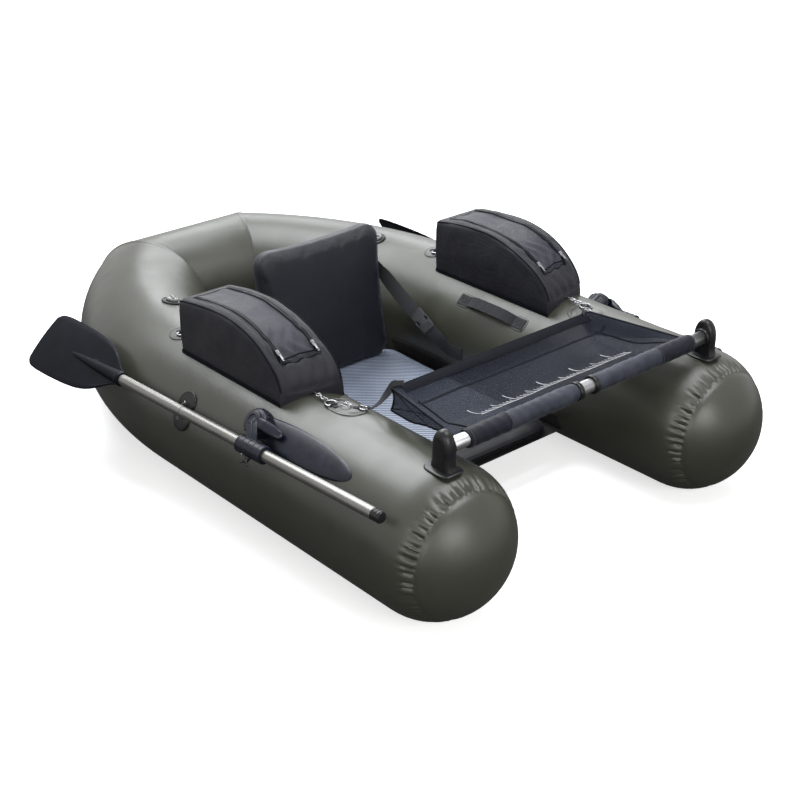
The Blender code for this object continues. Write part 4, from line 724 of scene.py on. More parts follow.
rings = {
    "patchThickness": 0.002, "wire": 0.002, "width": 0.026, "depth": 0.018, "loopWidth": 0.011,
    "frontRun": 0.466, "frontAngle": math.radians(99), "frontLength": 0.096, "frontWidth": 0.072,
    "bagShift": 0.018, "apronShift": -0.02, "apronTurn": math.radians(54), "bagFront": 0.555,
    "hookWire": 0.0015, "splitRadius": 0.0115, "splitWire": 0.0013, "splitLift": 0.0052, "splitTilt": 0.14,
    "rearRun": 1.0, "rearAngle": {"right": math.radians(82), "left": math.radians(98)}, "rearSize": 0.056,
}
ringLift = clearance * 2 + rings["patchThickness"] + rings["wire"]
ringSpread = 0.56 * rings["frontWidth"] / 2 / tubeR
ringBow = rings["wire"] + rings["depth"]


def bagRingFrame(side):
    return onHull(side, rings["frontRun"] + rings["bagShift"], rings["frontAngle"] - ringSpread, ringLift)


def apronRingFrame(side):
    place = onHull(side, rings["frontRun"] + rings["apronShift"], rings["frontAngle"] + ringSpread, ringLift)
    return place @ Matrix.Rotation(-side * rings["apronTurn"], 4, "Z")


def ringLine(place, sign):  # a D-ring: straight bar, round bow
    half = rings["width"] / 2
    local = [Vector((0, -half * k, 0)) for k in (0.8, 0.4, 0, -0.4, -0.8)]
    for i in range(25):
        t = math.pi / 2 - math.pi * i / 24
        local.append(Vector((sign * (rings["wire"] + rings["depth"] * math.cos(t)), half * math.sin(t), 0)))
    return [place @ p for p in local]


def ringLoop(place):  # webbing folded over the ring's bar, with its tails welded down
    near = rings["wire"] + 0.0005
    over = near + 0.0006
    low = -rings["wire"] - clearance + 0.0008
    tail = [(0.014, low), (0.009, low), (0.005, low + 0.0002), (over, -near * 0.2)]
    arc = [math.pi * (1 - i / 6) for i in range(1, 6)]
    local = [(-x, z) for x, z in tail] + [(over * math.cos(t), over * math.sin(t)) for t in arc] + tail[::-1]
    points = [place @ Vector((x, 0, z)) for x, z in local]
    return strip(points, place.to_3x3() @ yAxis, rings["loopWidth"], 0.0012)


def makeRings(word, side):
    bagFrame, apronFrame = bagRingFrame(side), apronRingFrame(side)
    rearAngle, rearSize = rings["rearAngle"][word], rings["rearSize"]
    rearFrame = onHull(side, rings["rearRun"], rearAngle, ringLift)
    profile = patchProfile(rings["patchThickness"])
    front = pad(side, rings["frontRun"], rings["frontAngle"], rings["frontLength"], rings["frontWidth"],
                profile, square=0.85)
    rear = pad(side, rings["rearRun"], rearAngle, rearSize, rearSize, profile)
    for name, shape, node in (("frontRingPatch", front, "front_ring_patch"),
                              ("rearRingPatch", rear, "rear_ring_patch")):
        addPiece(f"{name}_{word}", toMesh(shape), patchPvc, "hull", "patch_pvc", f"{node}_{word}")
    loops = [ringLoop(place) for place in (bagFrame, apronFrame, rearFrame)]
    addPiece(f"ringLoops_{word}", toMesh(*loops), webbing, "hull", "strap_webbing")
    for name, place, sign, body, node in (
            ("bagRingFront", bagFrame, 1, "hull", "bag_ring_front"),
            ("apronRing", apronFrame, -1, "hull", "apron_ring"),
            ("bagRingRear", rearFrame, -1, f"bag_ring_rear_{word}", "bag_ring_rear")):
        addBead(f"{name}_{word}", [ringLine(place, sign)], rings["wire"], 14, steel, body, "ring_steel",
                f"{node}_{word}", closed=True)
    makeSnapHook(word, bagFrame)
    spare = onHull(side, rings["frontRun"], rings["frontAngle"], rings["splitLift"])
    spare = spare @ Matrix.Rotation(rings["splitTilt"], 4, "X")
    circle = ellipse(Vector(), xAxis, yAxis, rings["splitRadius"], rings["splitRadius"], 32)
    link = ellipse(Vector((0.004, -0.011, 0)), Vector((0.0085, 0, 0.0025)), yAxis, 1.0, 0.005, 24)
    lines = [[spare @ p for p in line] for line in (circle, link)]
    addBead(f"splitRing_{word}", lines, rings["splitWire"], 10, steel, "hull", "ring_steel", closed=True)


def makeSnapHook(word, place):  # swivel snap hook between the ring and the front of the bag
    reach = rings["bagFront"] - rings["frontRun"] - rings["bagShift"] - 0.0006
    up = rings["wire"] + 0.0022
    tip = [(-0.0042, -0.0012), (-0.0046, 0.0018)]
    arch = [(-0.0022, up + 0.0012), (0.003, up + 0.0014), (0.012, up + 0.0008), (0.021, up)]
    hook = smoothLine([place @ Vector((ringBow + x, 0, z)) for x, z in tip + arch], 5)
    drops = ((0.003, -0.0005), (0.007, -0.0022), (0.012, -0.0022), (0.016, -0.0012), (0.02, 0))
    gate = [Vector((ringBow + x, 0.0035 * math.sin(math.pi * i / 4), up + z))
            for i, (x, z) in enumerate(drops)]
    gate = smoothLine([place @ p for p in gate], 4)
    eye = [Vector((ringBow + 0.0265 + 0.0055 * math.cos(t), 0.006 * math.sin(t), up))
           for t in circleOf(20) + [2 * math.pi]]
    tail = smoothLine([place @ Vector((x, 0, up)) for x in (ringBow + 0.03, ringBow + 0.036, reach)], 4)
    lines = [hook, gate, [place @ p for p in eye], tail]
    addBead(f"snapHook_{word}", lines, rings["hookWire"], 10, steel, "hull", "ring_steel", f"bag_hook_{word}")
    barrelPlace = moved(place, ringBow + 0.0195, 0, up) @ Matrix.Rotation(math.pi / 2, 4, "Y")
    profile = [(0.0016, -0.0035), (0.003, -0.0028), (0.0033, 0), (0.003, 0.0028), (0.0016, 0.0035)]
    addPiece(f"snapSwivel_{word}", toMesh(turned(profile, barrelPlace, 20)), steel, "hull", "ring_steel")


for word, side in sides.items():
    makeRings(word, side)
print("scene: rings and patches made")


# Padded seat and backrest

def roundedOutline(halfX, halfY, corner, draw, arcSteps=6, sideSteps=8):
    signs = ((1, 1), (-1, 1), (-1, -1), (1, -1))
    middles = [(signX * (halfX - corner), signY * (halfY - corner)) for signX, signY in signs]
    arcs = []
    for quarter, (x, y) in enumerate(middles):
        turns = [math.pi / 2 * (quarter + i / arcSteps) for i in range(arcSteps + 1)]
        arcs.append([(x + corner * math.cos(t), y + corner * math.sin(t)) for t in turns])
    points = []
    for quarter, arc in enumerate(arcs):
        points += arc
        (startX, startY), (endX, endY) = arc[-1], arcs[(quarter + 1) % 4][0]
        points += [(startX + (endX - startX) * i / sideSteps, startY + (endY - startY) * i / sideSteps)
                   for i in range(1, sideSteps)]
    return [(x - draw * (1 - (y / halfY) ** 2) * x / halfX, y - draw * (1 - (x / halfX) ** 2) * y / halfY)
            for x, y in points]


def cushionForm(sizes, place, inset):
    width, length, thick = (s - 2 * inset for s in sizes["size"])
    crown, corner, draw = sizes["crown"], sizes["corner"], sizes["draw"]
    wall = ((0.0, 0.36), (0.07, 0.15), (0.25, 0.03), (0.5, 0.0), (0.75, 0.03), (0.93, 0.15), (1.0, 0.36))
    scales = (0.06, 0.3, 0.55, 0.78, 0.92)

    def ring(shrink, height, scale=1.0):
        halfX, halfY = (width / 2 - corner * shrink) * scale, (length / 2 - corner * shrink) * scale
        outline = roundedOutline(halfX, halfY, corner * scale * (1 - shrink * 0.5), draw * scale)
        return [place @ Vector((x, y, height + inset)) for x, y in outline]

    rows = [ring(0.36, 0.0, scale) for scale in scales]
    rows += [ring(shrink, thick * share) for share, shrink in wall]
    rows += [ring(0.36, thick + crown * (1 - scale ** 2), scale) for scale in reversed(scales)]
    return loft(rows)


def inflate(mesh, voxel, cap, pressure=4.0, frames=20):  # cloth puffed from inside, no point goes beyond cap
    scene = bpy.context.scene
    holder = bpy.data.objects.new("padForm", mesh)
    scene.collection.objects.link(holder)
    remesh = holder.modifiers.new("even", "REMESH")
    remesh.mode = "VOXEL"
    remesh.voxel_size = voxel
    graph = bpy.context.evaluated_depsgraph_get()
    even = bpy.data.meshes.new_from_object(holder.evaluated_get(graph))
    holder.modifiers.clear()
    holder.data = even
    start = pointsOf(even)
    settings = holder.modifiers.new("cloth", "CLOTH").settings
    settings.use_pressure = True
    settings.uniform_pressure_force = pressure
    settings.effector_weights.gravity = 0.0
    settings.quality = 5
    settings.tension_stiffness = 12
    settings.compression_stiffness = 12
    settings.bending_stiffness = 0.4
    for number in range(1, frames + 1):
        scene.frame_set(number)
    graph = bpy.context.evaluated_depsgraph_get()
    puffed = bpy.data.meshes.new_from_object(holder.evaluated_get(graph))
    move = pointsOf(puffed) - start
    far = np.linalg.norm(move, axis=1, keepdims=True)
    setPoints(puffed, start + move * np.minimum(1.0, cap / np.maximum(far, 1e-9)))
    scene.frame_set(1)
    bpy.data.objects.remove(holder, do_unlink=True)
    return puffed


def pointsOf(mesh):
    flat = np.zeros(len(mesh.vertices) * 3, np.float32)
    mesh.vertices.foreach_get("co", flat)
    return flat.reshape(-1, 3).astype(float)


def setPoints(mesh, points):
    mesh.vertices.foreach_set("co", points.astype(np.float32).ravel())
    mesh.update()


def fitTo(points, low, high):  # stretches the puffed pad evenly to its own size
    least, most = points.min(axis=0), points.max(axis=0)
    return (points - least) / (most - least) * (np.array(high) - np.array(low)) + np.array(low)


def padMesh(sizes, place, inset):
    form = toMesh(cushionForm(sizes, place, inset))
    return inflate(form, sizes["voxel"], sizes["cap"])


seat = {"size": (0.446, 0.595, 0.031), "crown": 0.007, "corner": 0.05, "draw": 0.006, "frontRun": 0.425,
        "floor": 0.0755, "voxel": 0.0055, "cap": 0.006, "channel": 0.0016, "channelInset": 0.03,
        "pipingRadius": 0.0022}
backrest = {"size": (0.372, 0.35, 0.06), "crown": 0.011, "corner": 0.045, "draw": 0.005,
            "lean": math.radians(7), "voxel": 0.005, "cap": 0.008, "seam": 0.0016, "seamShare": 0.8}


def jointNamed(name):
    return [joint for joint in frame["joints"] if joint["name"] == name][0]


hinge = Vector(jointNamed("backrest_fold")["pos_m"])


def makeSeat():
    edgeX, edgeY, thick = seat["size"][0] / 2, seat["size"][1] / 2, seat["size"][2]
    middle = placeY(seat["frontRun"] + edgeY)
    mesh = padMesh(seat, Matrix.Translation((0, middle, seat["floor"])), 0.003)
    points = fitTo(pointsOf(mesh), *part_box("seat_cushion"))
    across, length = np.abs(points[:, 0]), np.abs(points[:, 1] - middle)
    rim = np.minimum(edgeX - across, edgeY - length)
    groove = np.exp(-((rim - seat["channelInset"]) / 0.004) ** 2) * seat["channel"]
    points[:, 2] -= np.where(points[:, 2] > seat["floor"] + 0.02, groove, 0.0)
    setPoints(mesh, points)
    mesh.shade_smooth()
    piece = addPiece("seatCushion", mesh, seatCloth, "hull", "seat_cloth", "seat_cushion")
    outline = roundedOutline(edgeX - 0.0005, edgeY - 0.0005, seat["corner"], seat["draw"], 10, 14)
    line = [Vector((x, middle + y, seat["floor"] + thick / 2)) for x, y in outline]
    addBead("seatPiping", [line], seat["pipingRadius"], 10, pipingCloth, "hull", "seat_cloth", closed=True)


def makeBackrest():
    lean = backrest["lean"]
    halfX, halfY, deep = backrest["size"][0] / 2, backrest["size"][1] / 2, backrest["size"][2]
    up = Vector((0, math.sin(lean), math.cos(lean)))
    front = Vector((0, -math.cos(lean), math.sin(lean)))
    place = frameOf(xAxis, up, front, hinge + up * halfY - front * deep)
    mesh = padMesh(backrest, place, 0.004)
    back = place.inverted()
    local = pointsOf(mesh) @ np.array(back.to_3x3()).T + np.array(back.translation)
    local = fitTo(local, (-halfX, -halfY, 0), (halfX, halfY, deep + backrest["crown"] * 0.8))
    edge = np.minimum(halfX - np.abs(local[:, 0]), halfY - np.abs(local[:, 1]))
    seam = np.exp(-((local[:, 2] - deep * backrest["seamShare"]) / 0.0028) ** 2)
    seam *= np.where(edge < 0.02, 1.0, 0.0)
    local[:, :2] *= (1 - backrest["seam"] * seam / 0.17)[:, None]
    setPoints(mesh, local @ np.array(place.to_3x3()).T + np.array(place.translation))
    mesh.shade_smooth()
    piece = addPiece("backrestPad", mesh, backrestCloth, "backrest", "backrest_cloth", "backrest_cushion")


makeSeat()
makeBackrest()
nodes["seat_panel"].data.materials.clear()
nodes["seat_panel"].data.materials.append(panelPvc)
print("scene: seat and backrest made")


# Backrest straps

strap = {"width": 0.03, "bandWidth": 0.034, "thickness": 0.0014, "topHeight": 0.335, "topLength": 0.04,
         "seatRun": 0.765, "seatLength": 0.045, "standoff": 0.006, "sag": 0.006, "buckleShare": 0.68,
         "twist": math.radians(48)}
buckleParts = (  # size, place on the strap, roundness
    ((0.026, 0.038, 0.0105), (-0.017, 0, 0), 0.3), ((0.024, 0.038, 0.0105), (0.0165, 0, 0), 0.3),
    ((0.018, 0.022, 0.0095), (0, 0, 0), 0.25), ((0.016, 0.0055, 0.009), (0.001, 0.0165, 0), 0.3),
    ((0.016, 0.0055, 0.009), (0.001, -0.0165, 0), 0.3), ((0.0035, 0.034, 0.012), (-0.0285, 0, 0), 0.3),
    ((0.0035, 0.034, 0.012), (0.0285, 0, 0), 0.3),
)


def strapLine(side):
    length, half, lean = strap["topLength"], backrest["size"][1] / 2, backrest["lean"]
    seatX = side * (axisX - tubeR - clearance - strap["thickness"] / 2)
    seatY = placeY(strap["seatRun"])
    upBack = (strap["topHeight"] - hinge.z) / math.cos(lean)
    fromMiddle = (upBack - half) / half
    topX = side * (backrest["size"][0] / 2 - backrest["draw"] * (1 - fromMiddle ** 2) + clearance + 0.0012)
    seamY = hinge.y + upBack * math.sin(lean) + backrest["size"][2] / 2
    lowEnd, lowTurn = [Vector((seatX, seatY + k * strap["seatLength"] / 2, tubeR)) for k in (-1, 1)]
    leaveZ = tubeR + strap["width"] / 2
    leave = Vector((seatX - side * strap["standoff"], seatY + strap["seatLength"], leaveZ))
    topTurn, topEnd = [Vector((topX, seamY + k * length / 2, strap["topHeight"] + k * length / 4))
                       for k in (-1, 1)]
    return [lowEnd, lowTurn, leave, topTurn, topEnd]


def strapAcross(side, line, leave, top):  # the webbing turns its face forward between its two fixed ends
    made = []
    for i, point in enumerate(line):
        heading = (line[min(i + 1, len(line) - 1)] - line[max(i - 1, 0)]).normalized()
        share = min(1.0, max(0.0, (point - leave).dot(top - leave) / (top - leave).length_squared))
        turn = strap["twist"] * math.sin(math.pi * share) ** 0.7
        upright = (zAxis - heading * heading.z).normalized()
        made.append(upright * math.cos(turn) + xAxis * (side * math.sin(turn)))
    return made


def makeBackrestStrap(word, side):
    low, lowTurn, leave, top, end = strapLine(side)
    run = [low, low.lerp(lowTurn, 0.5), lowTurn, leave]
    run += [leave.lerp(top, share) - zAxis * (strap["sag"] * math.sin(math.pi * share))
            for share in [i / 10 for i in range(1, 10)]]
    run += [top, top.lerp(end, 0.5), end]
    line = smoothLine(run, 4)
    band = strip(line, strapAcross(side, line, leave, top), strap["bandWidth"], strap["thickness"])
    heading = (leave - top).normalized()
    middle = top + (leave - top) * strap["buckleShare"]
    across = strapAcross(side, [middle, middle - heading * 0.01], leave, top)[0]
    across = (across - heading * across.dot(heading)).normalized()
    place = frameOf(heading, across, heading.cross(across).normalized(), middle - zAxis * 0.005)
    parts = [softBox(size, moved(place, *spot), round) for size, spot, round in buckleParts]
    for name, mesh, material, slotName, node in (
            ("backrestStrap", toMesh(band), webbing, "strap_webbing", "backrest_strap"),
            ("strapBuckle", toMesh(*parts, angle=50), bucklePlastic, "buckle_plastic", "strap_buckle")):
        piece = addPiece(f"{name}_{word}", mesh, material, None, slotName, f"{node}_{word}")
        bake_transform(piece)


for word, side in sides.items():
    makeBackrestStrap(word, side)
print("scene: backrest straps made")


# Side bags

bag = {
    "width": 0.145, "inset": 0.0075, "frontRun": 0.555, "length": 0.378, "height": 0.133, "noseHeight": 0.016,
    "tailDrop": 0.018, "edge": 0.013, "crestShare": 0.56, "archPower": 1.75, "bulge": 0.005, "sag": 0.004,
    "skin": 0.0018, "skew": 0.015, "lidFront": 0.092, "lidRear": 0.95, "lidHalf": 0.0438, "lidSkin": 0.0016,
    "rumple": 0.0048, "fineRumple": 0.0017, "crease": 0.0023, "gather": 0.0034, "pipingRadius": 0.0018,
    "hemWidth": 0.0095, "hemThickness": 0.0012, "stitchX": 0.052,
    "stitches": (0.0042, 0.0027, 0.0006, 0.0006),  # pitch, length, width and height of a stitch
}
zipper = {"half": 0.0436, "tapeWidth": 0.0105, "tapeThickness": 0.0009,
          "teeth": (0.0026, 0.0014, 0.0019, 0.0012), "rowGap": 0.0011, "sliderHalf": 0.0425,
          "sliderRun": 0.02, "tieRadius": 0.0019}
bagX = axisX - bag["inset"]
bagHalf = bag["width"] / 2


def bagSkew(x, share):  # the inner side of the front reaches further forward than the outer side
    return bag["skew"] * x / bagHalf * smoothStep((0.36 - share) / 0.36)


def bagTop(share):
    if share >= bag["crestShare"]:
        back = (share - bag["crestShare"]) / (1 - bag["crestShare"])
        return bag["height"] - bag["tailDrop"] * back ** 2
    fore = (bag["crestShare"] - share) / bag["crestShare"]
    rise = max(0.0, 1 - fore ** bag["archPower"]) ** (1 / bag["archPower"])
    return bag["noseHeight"] + (bag["height"] - bag["noseHeight"]) * rise


def bagEdge(share):  # radius of the upper edge, smaller where the bag is low
    return min(bag["edge"], bagTop(share) * 0.6 + 0.004)


def floorZ(x):  # the tube's surface under the bag, x measured from the bag's middle
    return tubeR + math.sqrt(tubeR ** 2 - (x - bag["inset"]) ** 2) + clearance


def bagPoint(side, x, share, z):
    y = placeY(bag["frontRun"] + bag["length"] * share)
    return Vector((side * (bagX + x), y + bagSkew(x, share), z))


def bagSection(side, share):  # outer wall, corner, top, corner, inner wall, floor
    edge, top = bagEdge(share), crest + bagTop(share)
    wallTop = top - edge
    lump = 0.35 + 0.65 * math.sin(math.pi * min(1.0, share * 1.15)) if share < 0.87 else 0.4

    def wall(sign):  # one wall and its corner, from the foot up
        base = floorZ(sign * bagHalf)
        made = []
        for k in range(9):
            t = k / 8
            out = bagHalf + bag["bulge"] * math.sin(math.pi * t) * lump - 0.0015 * (1 - t)
            made.append((sign * out, base + (wallTop - base) * t))
        for t in [math.pi / 2 * k / 4 for k in range(1, 5)]:
            made.append((sign * (bagHalf - edge + edge * math.cos(t)), wallTop + edge * math.sin(t)))
        return made

    rim, mouth = [0.054, 0.0475], 0.0448
    tops = rim + [mouth - 2 * mouth * k / 12 for k in range(13)] + [-x for x in reversed(rim)]
    floors = [bag["width"] * k / 10 - bagHalf for k in range(1, 10)]
    local = wall(1) + [(x, top) for x in tops] + wall(-1)[::-1] + [(x, floorZ(x)) for x in floors]
    return [bagPoint(side, x, share, z) for x, z in local]


def bagRumple(point):  # the same folds move the body and the lid
    low = noise(Vector((point.x * 14, point.y * 9, point.z * 14))) * bag["rumple"]
    fine = noise(Vector((point.x * 42 + 7, point.y * 30, point.z * 42))) * bag["fineRumple"]
    return (low + fine) * smoothStep((point.z - crest - 0.004) / 0.03)


def topFolds(x, share):  # creases in front, where the cloth turns down, and a hollow along the middle
    hollow = bag["sag"] * math.cos(math.pi * x / 0.1) * math.sin(math.pi * min(1.0, max(0.0, share)))
    front = smoothStep((0.42 - share) / 0.3) * smoothStep(share / 0.06)
    crease = bag["crease"] * math.sin(x * 210 + 3.0 * math.sin(share * 24)) * front
    low = smoothStep((0.3 - share) / 0.22) * smoothStep((0.0625 - abs(x)) / 0.012)
    gather = bag["gather"] * (0.5 + 0.5 * math.sin(x * 170 + 1.6 * math.sin(share * 40 + x * 30))) * low
    return Vector((0, -gather, crease - hollow * 0.6))


def folded(point, x, share):
    return point + topFolds(x, share) + zAxis * bagRumple(point)


def foldedTop(side, x, share):
    return folded(bagPoint(side, x, share, crest + bagTop(share)), x, share)


def topSpot(side, x, share, lift):  # a point above the bag's folded top, and the direction away from it
    ahead = bagTop(min(1.0, share + 0.004)) - bagTop(max(0.0, share - 0.004))
    tangent = Vector((0, 0.008 * bag["length"], ahead)).normalized()
    normal = Vector((0, -tangent.z, tangent.y))
    return foldedTop(side, x, share) + normal * lift, normal


def topLine(side, x, first, last, count, lift):  # points and their normals
    return zip(*[topSpot(side, x, first + (last - first) * i / count, lift) for i in range(count + 1)])


def makeBag(word, side):
    shares = [0.0, 0.004, 0.012, 0.022, 0.035, 0.05, 0.07, 0.09]
    shares += [0.09 + (0.952 - 0.09) * i / 36 for i in range(1, 37)]
    shares += [0.965, 0.98, 0.992, 1.0]
    rows = []
    for share in shares:
        ring = []
        for i, p in enumerate(bagSection(side, share)):
            x = side * p.x - bagX
            if 0.0 < share < 1.0:
                if abs(x) > 0.06:
                    p = p + xAxis * (side * bagRumple(p) * (1 if x > 0 else -1))
                if 12 <= i <= 30:
                    p = folded(p, x, share)
            ring.append(p)
        rows.append(ring)

    def capRing(ring, scale, push):
        centre = sum(ring, Vector()) / len(ring)
        return [centre + (p - centre) * scale + yAxis * push for p in ring]

    frontCap = ((0.05, -0.003), (0.5, -0.0025), (0.85, -0.0012))
    rearCap = ((0.985, 0.0012), (0.93, 0.0022), (0.8, 0.003), (0.5, 0.004), (0.2, 0.0045), (0.04, 0.0045))
    first = len(frontCap) + shares.index(0.09)
    verts, faces = loft([capRing(rows[0], *cap) for cap in frontCap] + rows
                        + [capRing(rows[-1], *cap) for cap in rearCap])
    kept = []
    for face in faces:  # the top is left open under the lid
        r, i = divmod(face[0], len(rows[0]))
        if not (len(face) == 4 and first <= r < first + 36 and 15 <= i < 27):
            kept.append(face)
    body = addPiece(f"bagBody_{word}", toMesh((verts, kept), angle=50), bagCloth, "hull", "bag_nylon",
                    f"bag_body_{word}")
    addWall(body, "wall", bag["skin"], -1.0)
    makeBagLid(word, side)
    makeBagTrim(word, side)


def makeBagLid(word, side):
    body = f"bag_lid_{word}"
    rows = []
    for i in range(61):
        share = bag["lidFront"] + 0.002 + (bag["lidRear"] - bag["lidFront"] - 0.008) * i / 60
        rows.append([foldedTop(side, bag["lidHalf"] - 2 * bag["lidHalf"] * k / 24, share) for k in range(25)])
    mesh = toMesh(gridSheet(rows), angle=60, outward=False)
    if mesh.polygons[0].normal.z < 0:
        mesh.flip_normals()
    lid = addPiece(f"bagLid_{word}", mesh, lidClothPaintedLight, body, "bag_lid_nylon", f"bag_lid_{word}")
    addWall(lid, "wall", bag["lidSkin"], -1.0)
    front, rear, gap = bag["lidFront"] + 0.004, bag["lidRear"] - 0.004, zipper["rowGap"]
    tapes, teeth, lifts = [], [], []
    for x in (zipper["half"], -zipper["half"]):
        points, normals = topLine(side, x, front, rear, 70, 0.0004)
        tapes.append(strip(points, xAxis, zipper["tapeWidth"], zipper["tapeThickness"]))
        points, normals = topLine(side, x, front, rear, 90, gap)
        for shift in (-gap, gap):
            teeth.append([p + xAxis * shift for p in points])
            lifts.append(normals)
    addPiece(f"zipTape_{word}", toMesh(*tapes), pipingCloth, body, "zip_black")
    addStitches(f"zipTeeth_{word}", teeth, lifts, zipper["teeth"], zipNylon, body, "zip_black")
    makeZipPull(word, side)


def makeZipPull(word, side):  # a slider on each zip, and the tie between them
    body = f"bag_lid_{word}"
    share = bag["lidFront"] + zipper["sliderRun"] / bag["length"]
    parts = (((0.0085, 0.015, 0.0042), (0, 0, 0), 0.35), ((0.004, 0.009, 0.003), (0, 0.001, 0.003), 0.35),
             ((0.006, 0.02, 0.0016), (0, -0.013, 0.0022), 0.4))
    shapes, ends = [], []
    for x in (zipper["sliderHalf"], -zipper["sliderHalf"]):
        p, normal = topSpot(side, x, share, 0.0022)
        tangent = Vector((0, normal.z, -normal.y))
        place = frameOf(xAxis, tangent, normal, p)
        shapes += [softBox(size, moved(place, *spot), round) for size, spot, round in parts]
        ends.append(p - tangent * 0.02 + normal * 0.0024)
    addPiece(f"zipSliders_{word}", toMesh(*shapes, angle=50), zipMetal, body, "zip_black", f"zip_pull_{word}")
    mid, normal = topSpot(side, 0.0, share - 0.02, 0.0035)
    between = [end.lerp(mid, 0.5) + Vector((0, -0.004, 0.0005)) for end in ends]
    tie = smoothLine([ends[0], between[0], mid - yAxis * 0.005, between[1], ends[1]], 8)
    addBead(f"zipTie_{word}", [tie], zipper["tieRadius"], 10, pipingCloth, body, "zip_black")


def makeBagTrim(word, side):  # piping round both side panels, webbing at the foot and a stitched hem
    lines, hems, stitches, lifts = [], [], [], []
    for sign in (1, -1):
        line = []
        for i in range(81):
            share = 0.002 + 0.996 * i / 80
            edge = bagEdge(share)
            out = (edge + 0.0006) * math.sqrt(0.5)
            z = crest + bagTop(share) - edge + out
            line.append(bagPoint(side, sign * (bagHalf - edge + out), share, z))
        rearY = placeY(bag["frontRun"] + bag["length"]) + 0.0008
        x = sign * (bagHalf - 0.0015)
        heights = [crest + bagTop(1.0) - bag["edge"] - 0.012 * k for k in range(1, 8)]
        line += [Vector((side * (bagX + x), rearY, z)) for z in heights if z > floorZ(x) + 0.003]
        lines.append(line)
        foot = floorZ(sign * bagHalf) + 0.0052
        points = [bagPoint(side, sign * (bagHalf + 0.0008), i / 40, foot) for i in range(41)]
        hems.append(strip(points, zAxis, bag["hemWidth"], bag["hemThickness"]))
        points, normals = topLine(side, sign * bag["stitchX"], 0.06, 0.98, 90, 0.0004)
        stitches.append(points)
        lifts.append(normals)
    addBead(f"bagPiping_{word}", lines, bag["pipingRadius"], 10, pipingCloth, "hull", "bag_nylon")
    addPiece(f"bagHem_{word}", toMesh(*hems), pipingCloth, "hull", "bag_nylon")
    addStitches(f"bagStitches_{word}", stitches, lifts, bag["stitches"], stitchThread, "hull", "bag_nylon")


for word, side in sides.items():
    makeBag(word, side)
print("scene: bags made")


# Crossbar, sleeves and holders

bar = {"radius": 0.015, "wall": 0.0015, "run": 0.14, "height": 0.374, "half": 0.395, "ringPlace": 0.024,
       "ringWidth": 0.011, "ringThickness": 0.0055, "sleeveStart": 0.031, "sleeveEnd": 0.337,
       "sleeveThickness": 0.0055, "cuffThickness": 0.0007, "seamAngle": math.radians(-60), "holderX": 0.382,
       "stitches": (0.0045, 0.003, 0.0007, 0.0007)}
barCentre = Vector((0, placeY(bar["run"]), bar["height"]))


def barRing(x, radius, count):
    return ellipse(barCentre + xAxis * x, yAxis, zAxis, radius, radius, count)


def barPipe(profile):  # (x, radius) pairs, closed on itself as it comes back along its bore
    return loft([barRing(x, radius, 56) for x, radius in profile], loop=True)


def makeBar():
    r, inner, h = bar["radius"], bar["radius"] - bar["wall"], bar["half"]
    pipe = barPipe([(-h, inner), (-h, r - 0.0003), (-h + 0.0004, r), (-0.1, r), (0.1, r), (h - 0.0004, r),
                    (h, r - 0.0003), (h, inner), (0.1, inner), (-0.1, inner)])
    addPiece("crossbarTube", toMesh(pipe), barAluminium, "hull", "bar_aluminium", "crossbar")
    a, b = bar["ringPlace"] - bar["ringWidth"] / 2, bar["ringPlace"] + bar["ringWidth"] / 2
    out = r + bar["ringThickness"]
    profile = ((a, r + .0005), (a, out - .001), (a + .0012, out), (a + .004, out), (a + .0045, out - .0006),
               (b - .0045, out - .0006), (b - .004, out), (b - .0012, out), (b, out - .001), (b, r + .0005))
    for word, side in sides.items():
        collar = barPipe([(side * x, q) for x, q in profile])
        addPiece(f"barCollar_{word}", toMesh(collar), rubber, "hull", "holder_rubber", f"bar_ring_{word}")
        makeSleeve(word, side)
        makeHolder(word, side)


def makeSleeve(word, side):
    start, end, steps = bar["sleeveStart"], bar["sleeveEnd"], 90
    outer, inner = bar["radius"] + bar["sleeveThickness"], bar["radius"] + 0.0006
    made = []
    for i in range(steps + 1):
        x = start + (end - start) * i / steps
        nearEnd = min(i, steps - i)
        lip = 0.0014 * math.exp(-(nearEnd / 1.2) ** 2)
        cuff = bar["cuffThickness"] if x > sleeveCuff["start"] else 0.0
        ring = []
        for t in circleOf(56):
            wave = noise(Vector((x * 30 * side, math.cos(t) * 1.4, math.sin(t) * 1.4))) * 0.0009
            twist = 0.0005 * math.sin(x * 240 + t * 2) * smoothStep(nearEnd / 10)
            q = outer - 0.0012 - lip + wave + twist + cuff
            ring.append(barCentre + Vector((side * x, q * math.cos(t), q * math.sin(t))))
        made.append(ring)
    made += [barRing(side * x, inner, 56) for x in (end, start)]
    addPiece(f"apronSleeve_{word}", toMesh(loft(made, loop=True), angle=50), sleeveCloth, "apron_cloth",
             "sleeve_cloth", f"apron_sleeve_{word}")
    down = Vector((0, -math.cos(bar["seamAngle"]), math.sin(bar["seamAngle"])))
    runs = [start + (end - start) * i / 40 for i in range(41)]
    lines = [[barCentre + xAxis * (side * x) + down * outer for x in runs]]
    lifts = [[down] * 41]
    for x in (0.2285, end - 0.006):
        lines.append(barRing(side * x, outer + .0002, 48))
        lifts.append([p.normalized() for p in ellipse(Vector(), yAxis, zAxis, 1.0, 1.0, 48)])
    addStitches(f"sleeveStitches_{word}", lines, lifts, bar["stitches"], stitchThread, "apron_cloth",
                "sleeve_cloth")


